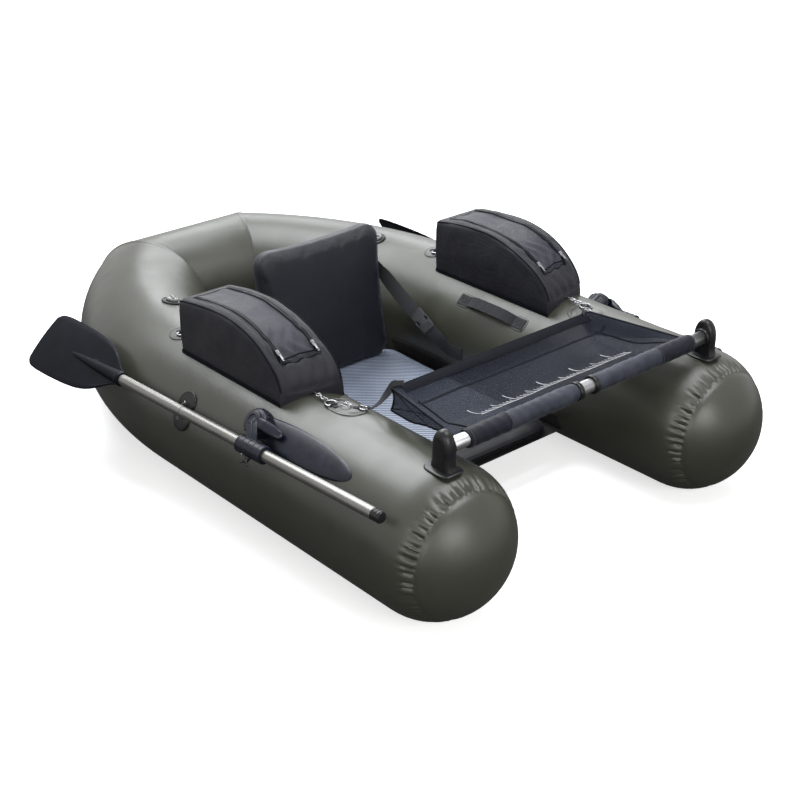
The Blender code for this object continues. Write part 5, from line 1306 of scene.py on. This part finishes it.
holder = {"footLength": 0.076, "footWidth": 0.058, "footSquare": 0.55, "halfWidth": 0.025, "above": 0.04,
          "socket": ((-0.002, .0158), (.004, .0158), (.005, .0168), (.0052, .0185), (.004, .0198),
                     (-0.002, .0205)),
          "footProfile": ((0.03, 0), (0.98, 0), (0.98, .0014), (0.95, .0024), (0.9, .003), (0.8, .0032),
                          (0.5, .0032), (0.03, .0032)),
          "earProfile": ((0, .05), (0, .5), (0, .84), (.0012, .93), (.005, .99), (.01, 1.0), (.0155, .985),
                         (.02, .93), (.0235, .82), (.0255, .62), (.026, .3), (.026, .05))}


def makeHolder(word, side):  # rubber ear: a leaf-shaped upright on a welded foot
    base = pad(side, bar["run"], math.pi / 2, holder["footLength"], holder["footWidth"],
               holder["footProfile"], square=holder["footSquare"])
    foot, height = crest + clearance + 0.0022, bar["height"]
    flare = [(0.0285, foot), (0.0255, foot + 0.006), (0.0247, height - 0.022)]
    leaf = []
    for t in [math.pi * (1 - i / 40) for i in range(41)]:
        z = height - 0.006 + (holder["above"] + 0.006) * math.sin(t) ** 0.8
        leaf.append((holder["halfWidth"] * math.cos(t), z))
    outline = [(-y, z) for y, z in flare] + leaf + flare[::-1]
    middle = height - 0.004
    rows = []
    for out, scale in holder["earProfile"]:
        row = []
        for y, z in outline:
            if z > foot + 0.001 or scale < 0.6:
                z = middle + (z - middle) * scale
            row.append(Vector((side * (bar["holderX"] + out), barCentre.y + y * scale, z)))
        rows.append(row)
    socket = [barRing(side * (bar["holderX"] - inward), q, 40) for inward, q in holder["socket"]]
    mesh = toMesh(base, loft(rows), loft(socket, loop=True), angle=60)
    addPiece(f"barHolder_{word}", mesh, rubber, "hull", "holder_rubber", f"bar_holder_{word}")


makeBar()
print("scene: crossbar made")


# Apron

apron = {"depth": 0.238, "frontHalf": 0.345, "taper": 0.045, "sag": 0.024, "rearWall": 0.055,
         "sideWall": 0.042, "skin": 0.0008, "bandShare": 0.76, "skirtFront": 0.006, "skirtRear": 0.05,
         "pipingRadius": 0.0021, "creaseRadius": 0.0009, "bandHalf": 0.93, "bandThickness": 0.0007}
ruler = {"share": 0.2, "half": 0.22, "step": 0.01, "stitches": (0.0022, 0.0024, 0.0013, 0.0003)}
apronStrap = {"upright": 0.83, "level": 0.55, "sag": 0.002, "thickness": 0.0014,
              "widths": [0.018] * 5 + [0.016, 0.0115, 0.011, 0.0105, 0.01]}
apronFront = bar["radius"] + bar["sleeveThickness"] + clearance


def apronHalf(v):
    return apron["frontHalf"] - apron["taper"] * v


def apronPoint(u, v):  # u from side to side, -1 to 1, and v from the bar rearwards, 0 to 1
    sideStart = 1 - apron["sideWall"] / apronHalf(v)
    rearWall = apron["rearWall"] / apron["depth"]
    rise = max(smoothStep((abs(u) - sideStart) / (1 - sideStart)), smoothStep((v - 1 + rearWall) / rearWall))
    drop = -apron["sag"] * smoothStep(v * 2.5) * (1 - rise)
    return barCentre + Vector((u * apronHalf(v), apronFront + apron["depth"] * v, drop))


def apronSurface(u, v, lift=0.0):  # the creased net, and its normal
    p = apronPoint(u, v)
    calm = smoothStep((1 - abs(u)) * 6) * smoothStep((1 - v) * 6) * smoothStep(v * 5)
    low = noise(Vector((p.x * 9, p.y * 22, 4.0))) * 0.0022
    fine = noise(Vector((p.x * 30, p.y * 46, 9.0))) * 0.0008
    p.z += (low + fine) * calm
    alongU = apronPoint(min(1, u + .01), v) - apronPoint(max(-1, u - .01), v)
    alongV = apronPoint(u, min(1, v + .01)) - apronPoint(u, max(0, v - .01))
    normal = alongU.cross(alongV).normalized()
    return p + normal * lift, normal


def skirtPoint(sign, v, share):  # net wall that hangs from the side edge towards the tube
    deep = apron["skirtFront"] + (apron["skirtRear"] - apron["skirtFront"]) * smoothStep(v * 1.05)
    ripple = 0.0015 * math.sin(v * 17 + share * 3) * share
    out = ripple - 0.006 * share * (1 - share) * 4
    return apronSurface(sign, v)[0] + Vector((sign * out, 0, -deep * share))


def makeApron():
    rows = []
    for v in [j / 48 for j in range(49)]:
        right, left = [[skirtPoint(sign, v, k / 8) for k in range(1, 9)] for sign in (-1, 1)]
        rows.append(right[::-1] + [apronSurface(-1 + 2 * i / 110, v)[0] for i in range(111)] + left)
    mesh = toMesh(gridSheet(rows), angle=80, outward=False)
    if mesh.polygons[60].normal.z < 0:
        mesh.flip_normals()
    cloth = addPiece("apronNet", mesh, apronNet, "apron_cloth", "apron_mesh", "apron")
    addWall(cloth, "cloth", apron["skin"], 0.0)
    around = [(-1, i / 60) for i in range(61)] + [(-1 + 2 * i / 120, 1) for i in range(1, 121)]
    around += [(1, 1 - i / 60) for i in range(1, 61)]
    beads, creases = [[apronSurface(u, v)[0] for u, v in around]], []
    for sign in (-1, 1):
        beads.append([apronSurface(sign * (1 - apron["sideWall"] / apronHalf(v)), v, 0.0006)[0]
                      for v in [0.06 + 0.74 * i / 40 for i in range(41)]])
        hang = [skirtPoint(sign, i / 40, 1.0) for i in range(41)]
        beads.append(hang + [skirtPoint(sign, 1.0, 1 - k / 6) for k in range(1, 7)])
        creases.append([skirtPoint(sign, 0.98 - 0.6 * i / 12, 0.9 - 0.75 * i / 12) for i in range(13)])
        creases.append([skirtPoint(sign, 0.95 - 0.5 * i / 12, 0.1 + 0.8 * i / 12) for i in range(13)])
    addBead("apronCreases", creases, apron["creaseRadius"], 6, pipingCloth, "apron_cloth", "apron_mesh")
    piping = addBead("apronPiping", beads, apron["pipingRadius"], 10, pipingCloth, "apron_cloth",
                     "apron_mesh")
    bands = []
    for start, end in ((apron["bandShare"] - 0.012, apron["bandShare"] + 0.012), (0.9, 0.99)):
        spots = [apron["bandHalf"] * (i / 40 - 1) for i in range(81)]
        middle = [apronSurface(u, (start + end) / 2, 0.0011)[0] for u in spots]
        across = [apronSurface(u, end)[0] - apronSurface(u, start)[0] for u in spots]
        wide = apron["depth"] * (end - start) * 1.05
        bands.append(strip(middle, across, wide, apron["bandThickness"]))
    tape = addPiece("apronBands", toMesh(*bands), pipingCloth, "apron_cloth", "apron_mesh")
    scale = makeRuler()


def makeRuler():  # a plain ruler printed along the apron, ticks every 10 mm
    share, half = ruler["share"], ruler["half"]
    marks = []
    for k in range(0, 45):
        x = -half + ruler["step"] * k
        reach = 0.2 if k % 10 == 0 else 0.13 if k % 5 == 0 else 0.07
        marks.append([(x, share + reach * j / 4) for j in range(5)])
    marks.append([(-0.225 + 0.45 * i / 88, share) for i in range(89)])
    spots = [[apronSurface(x / apronHalf(v), v, 0.0007) for x, v in mark] for mark in marks]
    lines, lifts = [[[spot[k] for spot in line] for line in spots] for k in (0, 1)]
    return addStitches("apronRuler", lines, lifts, ruler["stitches"], rulerInk, "apron_cloth", "apron_mesh")


def makeApronStrap(word, side):
    ringPlace = apronRingFrame(side)
    corner = apronPoint(side * 0.94, 1.0) + zAxis * 0.0022
    towards = ringPlace @ Vector((-ringBow, 0, 0)) - corner
    towards = Vector((towards.x, towards.y, 0)).normalized()
    level = Vector((-towards.y, towards.x, 0))
    over = rings["wire"] + 0.0018
    start = corner + towards * 0.01
    reach = ringPlace @ Vector((-ringBow - over - 0.006, 0, over * 0.8))
    points = [corner - towards * 0.012, corner, start]
    points += [start.lerp(reach, share) - zAxis * (apronStrap["sag"] * math.sin(math.pi * share))
               for share in (0.25, 0.5, 0.75)]
    fold = ((-over - 0.001, over * 0.8), (0, over + 0.0004), (over, over * 0.6), (over, -rings["wire"] * 0.6))
    points += [ringPlace @ Vector((x - ringBow, 0, z)) for x, z in fold]
    across = ringPlace.to_3x3() @ yAxis
    upright = zAxis * apronStrap["upright"] + level * math.copysign(apronStrap["level"], level.y)
    upright.normalize()
    if upright.dot(across) < 0:
        across = -across
    tilt = [upright] * 3 + [upright.lerp(across, smoothStep(k / 4)) for k in (1, 2, 3)] + [across] * 4
    widths = apronStrap["widths"]
    line = smoothLine(points, 5)
    sideways, wide = [], []
    for i in range(len(line)):
        k = min(i // 5, len(points) - 2)
        part = i / 5 - k
        sideways.append(tilt[k].lerp(tilt[k + 1], part))
        wide.append(widths[k] + (widths[k + 1] - widths[k]) * part)
    addPiece(f"apronStrap_{word}", toMesh(strip(line, sideways, wide, apronStrap["thickness"])), webbing,
             "apron_cloth", "strap_webbing", f"apron_strap_{word}")


makeApron()
for word, side in sides.items():
    makeApronStrap(word, side)
print("scene: apron made")


# Carry handles and valves

handle = {"run": 0.693, "angle": math.radians(134), "length": 0.222, "pad": 0.034, "rise": 0.018,
          "width": 0.028, "thickness": 0.003, "margin": 0.01, "stitches": (0.0032, 0.0022, 0.0007, 0.0005)}
valve = {"run": 1.193, "angle": math.radians(104), "flange": 0.05, "thickness": 0.004, "capRadius": 0.0145,
         "capHeight": 0.006, "knurls": 20}


def makeHandle(word, side):
    half, thick = handle["length"] / 2, handle["thickness"]
    span = half - handle["pad"]
    places = [(-half + handle["pad"] * i / 4, 0.0) for i in range(5)]
    for i in range(1, 20):
        t = 2 * i / 20 - 1
        places.append((span * t, handle["rise"] * (1 - t ** 4) + 0.0011 * math.sin(i * 2.1)))
    places += [(span + handle["pad"] * i / 4, 0.0) for i in range(5)]
    points = [onHull(side, handle["run"] + x, handle["angle"], clearance + thick / 2 + rise).translation
              for x, rise in places]
    turn = onHull(side, handle["run"], handle["angle"]).to_3x3()
    band = strip(points, turn @ yAxis, handle["width"], thick * 0.8)
    addPiece(f"carryHandle_{word}", toMesh(band), webbing, "hull", "strap_webbing", f"carry_handle_{word}")
    patches, lines, lifts = [], [], []
    for sign in (-1, 1):
        run = handle["run"] + sign * (half - handle["pad"] / 2)
        patches.append(pad(side, run, handle["angle"], handle["pad"] + handle["margin"],
                           handle["width"] + handle["margin"], patchProfile(0.0012), square=0.5))
        line = []
        for x, y in ((-1, -1), (1, -1), (1, 1), (-1, 1), (-1, -1), (1, 1)):
            angle = handle["angle"] + y * 0.01 / tubeR
            line.append(onHull(side, run + x * 0.012, angle, thick + 0.0006).translation)
        lines.append(line)
        lifts.append([turn @ zAxis] * len(line))
    addPiece(f"handlePatches_{word}", toMesh(*patches), patchPvc, "hull", "patch_pvc")
    addStitches(f"handleStitches_{word}", lines, lifts, handle["stitches"], stitchThread, "hull",
                "strap_webbing")


def makeValve(word, side):
    t, r, h = valve["thickness"], valve["capRadius"], valve["capHeight"]
    flange = pad(side, valve["run"], valve["angle"], valve["flange"], valve["flange"],
                 [(0.03, 0), (1, 0), (1.0, t * .5), (0.96, t * .85), (0.9, t), (0.8, t), (0.78, t * .7),
                  (0.74, t * .7), (0.72, t * .95), (0.03, t * .95)])
    addPiece(f"valveBody_{word}", toMesh(flange), valvePlastic, "hull", "valve_plastic", f"valve_body_{word}")
    place = onHull(side, valve["run"], valve["angle"], 2 * clearance + t)
    cap = turned([(0.0004, 0), (r, 0), (r, h * .55), (r * .96, h * .8), (r * .9, h * .95), (r * .82, h),
                  (r * .8, h * .8), (r * .35, h * .78), (0.0004, h * .8)], place)
    grip = softBox((2 * r * .74, 0.0042, 0.008), moved(place, 0, 0, h * 0.95), 0.35)
    knurls = ringOfBoxes(place, valve["knurls"], (0.0016, 0.0016, h * .6), r, h * .4, 0.3)
    addPiece(f"valveCap_{word}", toMesh(cap, grip, *knurls), valveCapPlastic, f"valve_cap_{word}",
             "valve_cap_plastic", f"valve_cap_{word}")


def ringOfBoxes(place, count, size, radius, height, round):  # grips round a cap or a boss
    return [softBox(size, moved(place @ Matrix.Rotation(t, 4, "Z"), radius, 0, height), round)
            for t in circleOf(count)]


for word, side in sides.items():
    makeHandle(word, side)
    makeValve(word, side)
print("scene: handles and valves made")


# Oarlocks and oars

oarlock = {"drop": {"right": 0.0, "left": math.radians(12.5)}, "run": 0.575, "angle": math.radians(48),
           "length": 0.335, "width": 0.07, "rear": 0.045, "bossRadius": 0.03, "bossHeight": 0.03, "ribs": 18,
           "capRadius": 0.02, "capThickness": 0.006, "collarLength": 0.08, "collarWall": 0.0065,
           "pinRadius": 0.006}
baseProfile = ((0.02, 0), (0.5, 0), (1.0, 0), (1.0, .0022), (0.97, .004), (0.93, .0052), (0.86, .0056),
            (0.7, .0058), (0.5, .006), (0.3, .006), (0.15, .006), (0.02, .006))
hoodSections = ((-.008, .0028, .0022, .009), (-.030, .003, .0026, .0112), (-.0365, -.0015, .0068, .012),
                (-.042, -.0065, .0092, .0125), (-.054, -.0095, .0086, .0125), (-.066, -.013, .0066, .0112),
                (-.076, -.0165, .0038, .0082), (-.0795, -.018, .0008, .003))
oar = {"setback": {"right": 0.0, "left": 0.09}, "radius": 0.0125, "wall": 0.0011, "lead": 0.045,
       "angle": math.radians(32.5), "standoff": 0.0335, "yaw": math.radians(1.4), "pitch": math.radians(1.8),
       "roll": math.radians(49), "rear": 0.487, "front": 0.37, "grip": 0.024, "joint": 0.247,
       "bladeLength": 0.335, "bladeWidth": 0.152, "bladeThickness": 0.004, "cup": 0.006,
       "socket": 0.0165, "spineShare": 0.62, "bead": 0.0009, "cornerShare": 0.93, "clipWire": 0.0014,
       "keeperRun": 0.815, "keeperAngle": math.radians(28)}
bladeShares = ((0.0, 0.2), (0.05, 0.24), (0.14, 0.5), (0.24, 0.76), (0.36, 0.9), (0.52, 0.97), (0.72, 1.0),
               (0.9, 1.0), (0.965, 0.95), (1.0, 0.84))


def lowered(word, side):  # turns the far oarlock down round its tube
    axis = Vector((side * axisX, 0, tubeR))
    turn = Matrix.Rotation(side * oarlock["drop"][word], 4, "Y")
    return Matrix.Translation(axis) @ turn @ Matrix.Translation(-axis)


def oarFrame(side):  # X back along the oar, Y across its blade
    start = onHull(side, oarlock["run"] - oar["lead"], oar["angle"], oar["standoff"]).translation
    yaw, pitch, roll = oar["yaw"], oar["pitch"], oar["roll"]
    heading = Vector((side * math.sin(yaw), math.cos(yaw) * math.cos(pitch), -math.sin(pitch))).normalized()
    across = Vector((-side * math.sin(roll), 0, math.cos(roll)))
    across = (across - heading * across.dot(heading)).normalized()
    return frameOf(heading, across, heading.cross(across), start)


def onOar(place, profile, loop=False):
    a, b = place.to_3x3() @ yAxis, place.to_3x3() @ zAxis
    return loft([ellipse(place @ Vector((x, 0, 0)), a, b, r, r, 48) for x, r in profile], loop=loop)


def makeOarlock(word, side):
    place = lowered(word, side)
    middleRun = oarlock["run"] + oarlock["rear"] - oarlock["length"] / 2
    base = pad(side, middleRun, oarlock["angle"], oarlock["length"], oarlock["width"], baseProfile,
               place, height=lambda x: 0.45 + 0.5 * smoothStep((x + 1) / 2), count=96)
    foot = place @ onHull(side, oarlock["run"], oarlock["angle"], clearance)
    r, h = oarlock["bossRadius"], oarlock["bossHeight"]
    boss = turned([(0.0004, 0.002), (r * 1.06, 0.002), (r * 1.03, h * .3), (r, h * .6), (r * .97, h * .8),
                   (r * .9, h * .93), (r * .78, h), (r * .4, h), (r * .26, h), (r * .24, h - .004),
                   (0.0004, h - .004)], foot)
    ribs = ringOfBoxes(foot, oarlock["ribs"], (0.004, 0.0035, h * .6), r, h * .42, 0.35)
    addPiece(f"oarlockBase_{word}", toMesh(base, boss, *ribs, angle=45), oarlockRubber, "hull",
             "oarlock_rubber", f"oarlock_base_{word}")


def makeYoke(word, side):
    place = lowered(word, side)
    pivot = place @ onHull(side, oarlock["run"], oarlock["angle"], clearance + oarlock["bossHeight"])
    shaft = place @ oarFrame(side)
    r, h, thick = oarlock["capRadius"], oarlock["capThickness"], oarlock["pinRadius"]
    pin = turned([(0.0004, -0.0195), (thick, -0.0195), (thick, 0.002), (0.0004, 0.002)], pivot, 28)
    cap = turned([(0.0004, .0005), (r, .0005), (r, h * .6), (r * .95, h * .9), (r * .86, h),
                  (r * .5, h * 1.1), (r * .46, h * .8), (r * .2, h * .8), (0.0004, h * .9)], pivot)
    toCollar = pivot.inverted() @ shaft.translation
    reach = math.hypot(toCollar.x, toCollar.y) - .006
    turn = Matrix.Rotation(math.atan2(toCollar.y, toCollar.x), 4, "Z")
    arm = moved(pivot @ turn, reach / 2, 0, .0005 + h / 2)
    arms = [softBox((reach, 0.028, 0.0055), arm, 0.35), softBox((reach - .014, 0.004, 0.0085), arm, 0.35)]
    hood = []  # the cap's forward beak, which swings over the base
    for x, z, tall, wide in hoodSections:
        circle = [squareCircle(t, 0.7) for t in circleOf(40)]
        hood.append([pivot @ Vector((x, c * wide, z + s * tall)) for c, s in circle])
    bore = oar["radius"] + 0.0005
    out = bore + oarlock["collarWall"]
    half = oarlock["collarLength"] / 2
    profile = [(-half, bore), (-half, out - .0012), (-half + .0012, out)]
    for k in range(5):
        x = -half + .008 + k * .016
        profile += [(x, out), (x + .001, out - .0011), (x + .003, out - .0011), (x + .004, out)]
    profile += [(half - .0012, out), (half, out - .0012), (half, bore)]
    collar = onOar(shaft, profile, loop=True)
    addPiece(f"oarYoke_{word}", toMesh(pin, cap, *arms, collar, loft(hood)), yokePlastic, f"oar_yoke_{word}",
             "yoke_plastic", f"oar_yoke_{word}")
    makeWingBolt(word, shaft)


def makeWingBolt(word, shaft):
    joint = jointNamed(f"wing_bolt_{word}_turn")
    axis = Vector(joint["axis"]).normalized()
    heading = shaft.to_3x3() @ xAxis
    heading = (heading - axis * heading.dot(axis)).normalized()
    bolt = frameOf(heading, axis.cross(heading), axis, Vector(joint["pos_m"]))
    stem = turned([(0.0003, 0), (.007, 0), (.007, .003), (.0062, .004), (.0062, .009), (.0066, .011),
                   (.005, .0125), (0.0003, .0128)], bolt, 28)
    sections = ((.003, .007, .011, .0032), (.007, .0075, .0125, .003), (.011, .0065, .0145, .0026),
                (.0145, .003, .0155, .0018))
    wings = []
    for sign in (-1, 1):
        made = []
        for x, wide, z, thick in sections:
            ring = ellipse(Vector((sign * x, 0, z)), yAxis, zAxis, thick / 2, wide / 2, 16)
            made.append([bolt @ p for p in ring])
        wings.append(loft(made))
    addPiece(f"wingBolt_{word}", toMesh(stem, *wings), rubber, f"wing_bolt_{word}", "holder_rubber",
             f"wing_bolt_{word}")
    stud = turned([(0.0003, -0.001), (.0032, -0.001), (.0034, .0012), (0.0003, .0014)],
                  moved(bolt, 0.02, 0, -0.0006), 16)
    addPiece(f"collarScrew_{word}", toMesh(stud), steel, f"oar_yoke_{word}", "ring_steel")


def bladeHalf(share):  # half the blade's width, its shares rounded where they meet
    spots = [min(1.0, max(0.0, share + 0.05 * k / 4)) for k in range(-4, 5)]
    return oar["bladeWidth"] / 2 * float(np.mean(np.interp(spots, *zip(*bladeShares))))


def bladeOutline(share):  # one section of the blade: a plate with a spine and a bead near its edge
    half = bladeHalf(share)
    corner = oar["cornerShare"]
    if share > corner:  # rounds the blade's corners
        half = bladeHalf(corner) * (1 - 0.13 * ((share - corner) / (1 - corner)) ** 2.4)
    spine = max(0.0006, oar["socket"] * math.sqrt(max(0.0, 1 - share / oar["spineShare"])))
    spine = min(spine, half * 0.98)
    wing = [spine + (half - spine) * (1 - k / 9) for k in range(9)]
    upper = []
    for y in wing + [spine * math.cos(math.pi * k / 16) for k in range(17)] + [-y for y in wing[::-1]]:
        t = y / half
        plate = oar["bladeThickness"] / 2 * (0.5 + 0.5 * math.sqrt(max(0.0, 1 - t ** 8)))
        bead = oar["bead"] * math.exp(-((abs(t) - 0.93) / 0.035) ** 2)
        upper.append((y, max(plate + bead, math.sqrt(max(0.0, spine ** 2 - y ** 2)))))
    cup = oar["cup"] * smoothStep(share * 1.2)
    return [(y, z - cup * (1 - (y / (oar["bladeWidth"] / 2)) ** 2))
            for y, z in upper + [(y, -z) for y, z in upper[-2:0:-1]]]


def makeOar(word, side):
    place = lowered(word, side) @ oarFrame(side)
    front, rear = [oar["setback"][word] + x for x in (-oar["front"], oar["rear"])]
    r, inner, joint = oar["radius"], oar["radius"] - oar["wall"], oar["joint"]
    shaft = [(front, inner), (front, r - .0003), (front + .0004, r), (joint - .0012, r),
             (joint - .0009, r - .0009), (joint + .0009, r - .0009), (joint + .0012, r), (rear, r),
             (rear, inner)]
    addPiece(f"oarShaft_{word}", toMesh(onOar(place, shaft, loop=True), angle=35), oarAluminium,
             f"oar_{word}", "bar_aluminium", f"oar_shaft_{word}")
    end, start = front - clearance, front - clearance - oar["grip"]
    grip = [(start, r * .5), (start + .001, r * .86), (start + .004, r), (end - .014, r * .98),
            (end - .0125, r * .9), (end - .011, r * .98), (end - .007, r * .98), (end - .0055, r * .9),
            (end - .004, r * .98), (end - .001, r), (end, r * .96)]
    addPiece(f"oarGrip_{word}", toMesh(onOar(place, grip)), rubber, f"oar_{word}", "holder_rubber",
             f"oar_grip_{word}")
    rows = []
    for share in [i / 64 for i in range(65)]:
        run = rear + clearance + oar["bladeLength"] * share
        rows.append([place @ Vector((run, y, z)) for y, z in bladeOutline(share)])
    collar = [(rear - .004, r + .0004), (rear - .004, r + .003), (rear - .002, r + .0042),
              (rear + .012, r + .0044), (rear + .014, r + .003), (rear + .014, r - .004)]
    addPiece(f"oarBlade_{word}", toMesh(loft(rows), onOar(place, collar, loop=True), angle=50), bladePlastic,
             f"oar_{word}", "blade_plastic", f"oar_blade_{word}")


def makeKeeper(word, side):  # two discs and a bridge on the tube, and a steel clip
    place = lowered(word, side)
    run, angle = oar["keeperRun"], oar["keeperAngle"]
    profile = [(0.03, 0), (1, 0), (1.0, .002), (0.97, .0032), (0.92, .004), (0.86, .004), (0.84, .0034),
               (0.8, .0034), (0.78, .004), (0.03, .0042)]
    discs = [pad(side, run, angle + turn, 0.056, 0.052, profile, place) for turn in (-0.12, 0.12)]
    low = [(0.03, 0), (1, 0), (1.0, .002), (0.96, .0036), (0.03, .0036)]
    bridge = pad(side, run, angle, 0.022, 0.05, low, place, square=0.6)
    addPiece(f"keeperPatch_{word}", toMesh(*discs, bridge), rubber, "hull", "holder_rubber",
             f"keeper_patch_{word}")
    top = place @ onHull(side, run, angle, clearance + 0.004)
    clip = [Vector((0.004 * math.sin(4 * t), 0.021 * math.cos(t), 0.004 + 0.0036 * math.sin(t)))
            for t in [math.pi * i / 20 for i in range(21)]]
    addBead(f"keeperClip_{word}", [[top @ p for p in clip]], oar["clipWire"], 10, steel, "hull", "ring_steel")


for word, side in sides.items():
    makeOarlock(word, side)
    makeYoke(word, side)
    makeOar(word, side)
    makeKeeper(word, side)
print("scene: oars made")


# Floor, lights and camera

stage = {"half": 14, "floorZ": -0.0006, "near": 1.8, "far": 4.0, "seen": (0.9, 0.9, 0.9, 1), "glow": 0.62,
         "worldDim": 0.3, "worldBright": 0.7}
camera = {"lens": 66.87, "place": (-2.089, -2.5255, 1.728), "target": (-0.0031, -0.1458, 0.1297)}
lamps = {  # place, target, size, power, tone
    "topSoftbox": ((0.3, -1.0, 2.5), (0.1, -0.5, 0.2), (1.6, 1.2), 42, (0.97, 0.98, 1.0)),
    "ridgeSoftbox": ((-0.02, 1.3, 2.5), (-0.3, -0.4, 0.3), (2.1, 1.5), 84, (0.94, 0.97, 1.0)),
    "backSoftbox": ((3.3, 3.6, 2.6), (0, 0.1, 0.3), (3.4, 2.2), 92, (0.94, 0.97, 1.0)),
    "frontSoftbox": ((-0.9, -3.3, 1.5), (0, -0.5, 0.2), (1.8, 1.4), 44, (1.0, 0.99, 0.97)),
    "sideSoftbox": ((-3.3, -2.0, 1.5), (-0.4, -0.3, 0.2), (1.7, 1.3), 22, (1.0, 0.99, 0.97)),
}


def makeFloor():  # paper that the camera sees white, and the object's reflections see darker near by, a painted shade for the floor round the object
    half = stage["half"]
    mesh = bpy.data.meshes.new("studioFloor")
    corners = [(-half, -half, 0), (half, -half, 0), (half, half, 0), (-half, half, 0)]
    mesh.from_pydata(corners, [], [(0, 1, 2, 3)])
    floor = bpy.data.objects.new("studioFloor", mesh)
    floor.location.z = stage["floorZ"]
    bpy.context.scene.collection.objects.link(floor)
    material, tree, shader, spot = startMaterial("studioPaper", 0.9, Specular_IOR_Level=0.1)
    rays = addNode(tree, "ShaderNodeLightPath").outputs
    seen = rays["Is Camera Ray"]
    reach = addNode(tree, "ShaderNodeVectorMath", {0: spot}, operation="LENGTH").outputs["Value"]
    # dark near the object and pale further off: painted shade on the floor for reflected and bounced rays
    distant = remap(tree, reach, stage["near"], stage["far"], 0.07, 0.9)
    dim = addNode(tree, "ShaderNodeCombineColor", {0: distant, 1: distant, 2: distant}).outputs[0]
    tree.links.new(mixed(tree, seen, dim, stage["seen"]), shader.inputs["Base Color"])
    lit = calc(tree, "MULTIPLY", rays["Is Glossy Ray"], calc(tree, "MULTIPLY", distant, 0.5))
    glow = calc(tree, "ADD", calc(tree, "MULTIPLY", seen, stage["glow"]), lit)
    tree.links.new(glow, shader.inputs["Emission Strength"])
    shader.inputs["Emission Color"].default_value = (1, 1, 1, 1)
    mesh.materials.append(material)


def makeWorld():  # white, and brighter where a ray sees it directly
    world = bpy.data.worlds.new("studioWorld")
    bpy.context.scene.world = world
    world.use_nodes = True
    tree = world.node_tree
    back = tree.nodes["Background"]
    rays = addNode(tree, "ShaderNodeLightPath").outputs
    shown = calc(tree, "MAXIMUM", rays["Is Glossy Ray"], rays["Is Transmission Ray"])
    shown = calc(tree, "MAXIMUM", rays["Is Camera Ray"], shown)
    back.inputs["Color"].default_value = (1, 1, 1, 1)
    strength = calc(tree, "ADD", stage["worldDim"], calc(tree, "MULTIPLY", shown, stage["worldBright"]))
    tree.links.new(strength, back.inputs["Strength"])


def aimed(name, data, place, target):  # an object that looks at its target
    made = bpy.data.objects.new(name, data)
    made.location = place
    made.rotation_euler = (Vector(target) - Vector(place)).to_track_quat("-Z", "Y").to_euler()
    bpy.context.scene.collection.objects.link(made)
    return made


def addLamp(name, place, target, size, power, tone):
    lamp = bpy.data.lights.new(name, "AREA")
    lamp.shape = "RECTANGLE"
    lamp.size, lamp.size_y = size
    lamp.energy = power
    lamp.color = tone
    aimed(name, lamp, place, target)


def makeCamera():
    lens = bpy.data.cameras.new("photoCamera")
    lens.sensor_width = 36.0
    lens.lens = camera["lens"]
    lens.clip_start, lens.clip_end = 0.05, 60.0
    bpy.context.scene.camera = aimed("photoCamera", lens, camera["place"], camera["target"])


makeFloor()
makeWorld()
for name, values in lamps.items():
    addLamp(name, *values)
makeCamera()
bpy.context.scene.view_settings.view_transform = "Standard"
print("scene: done")
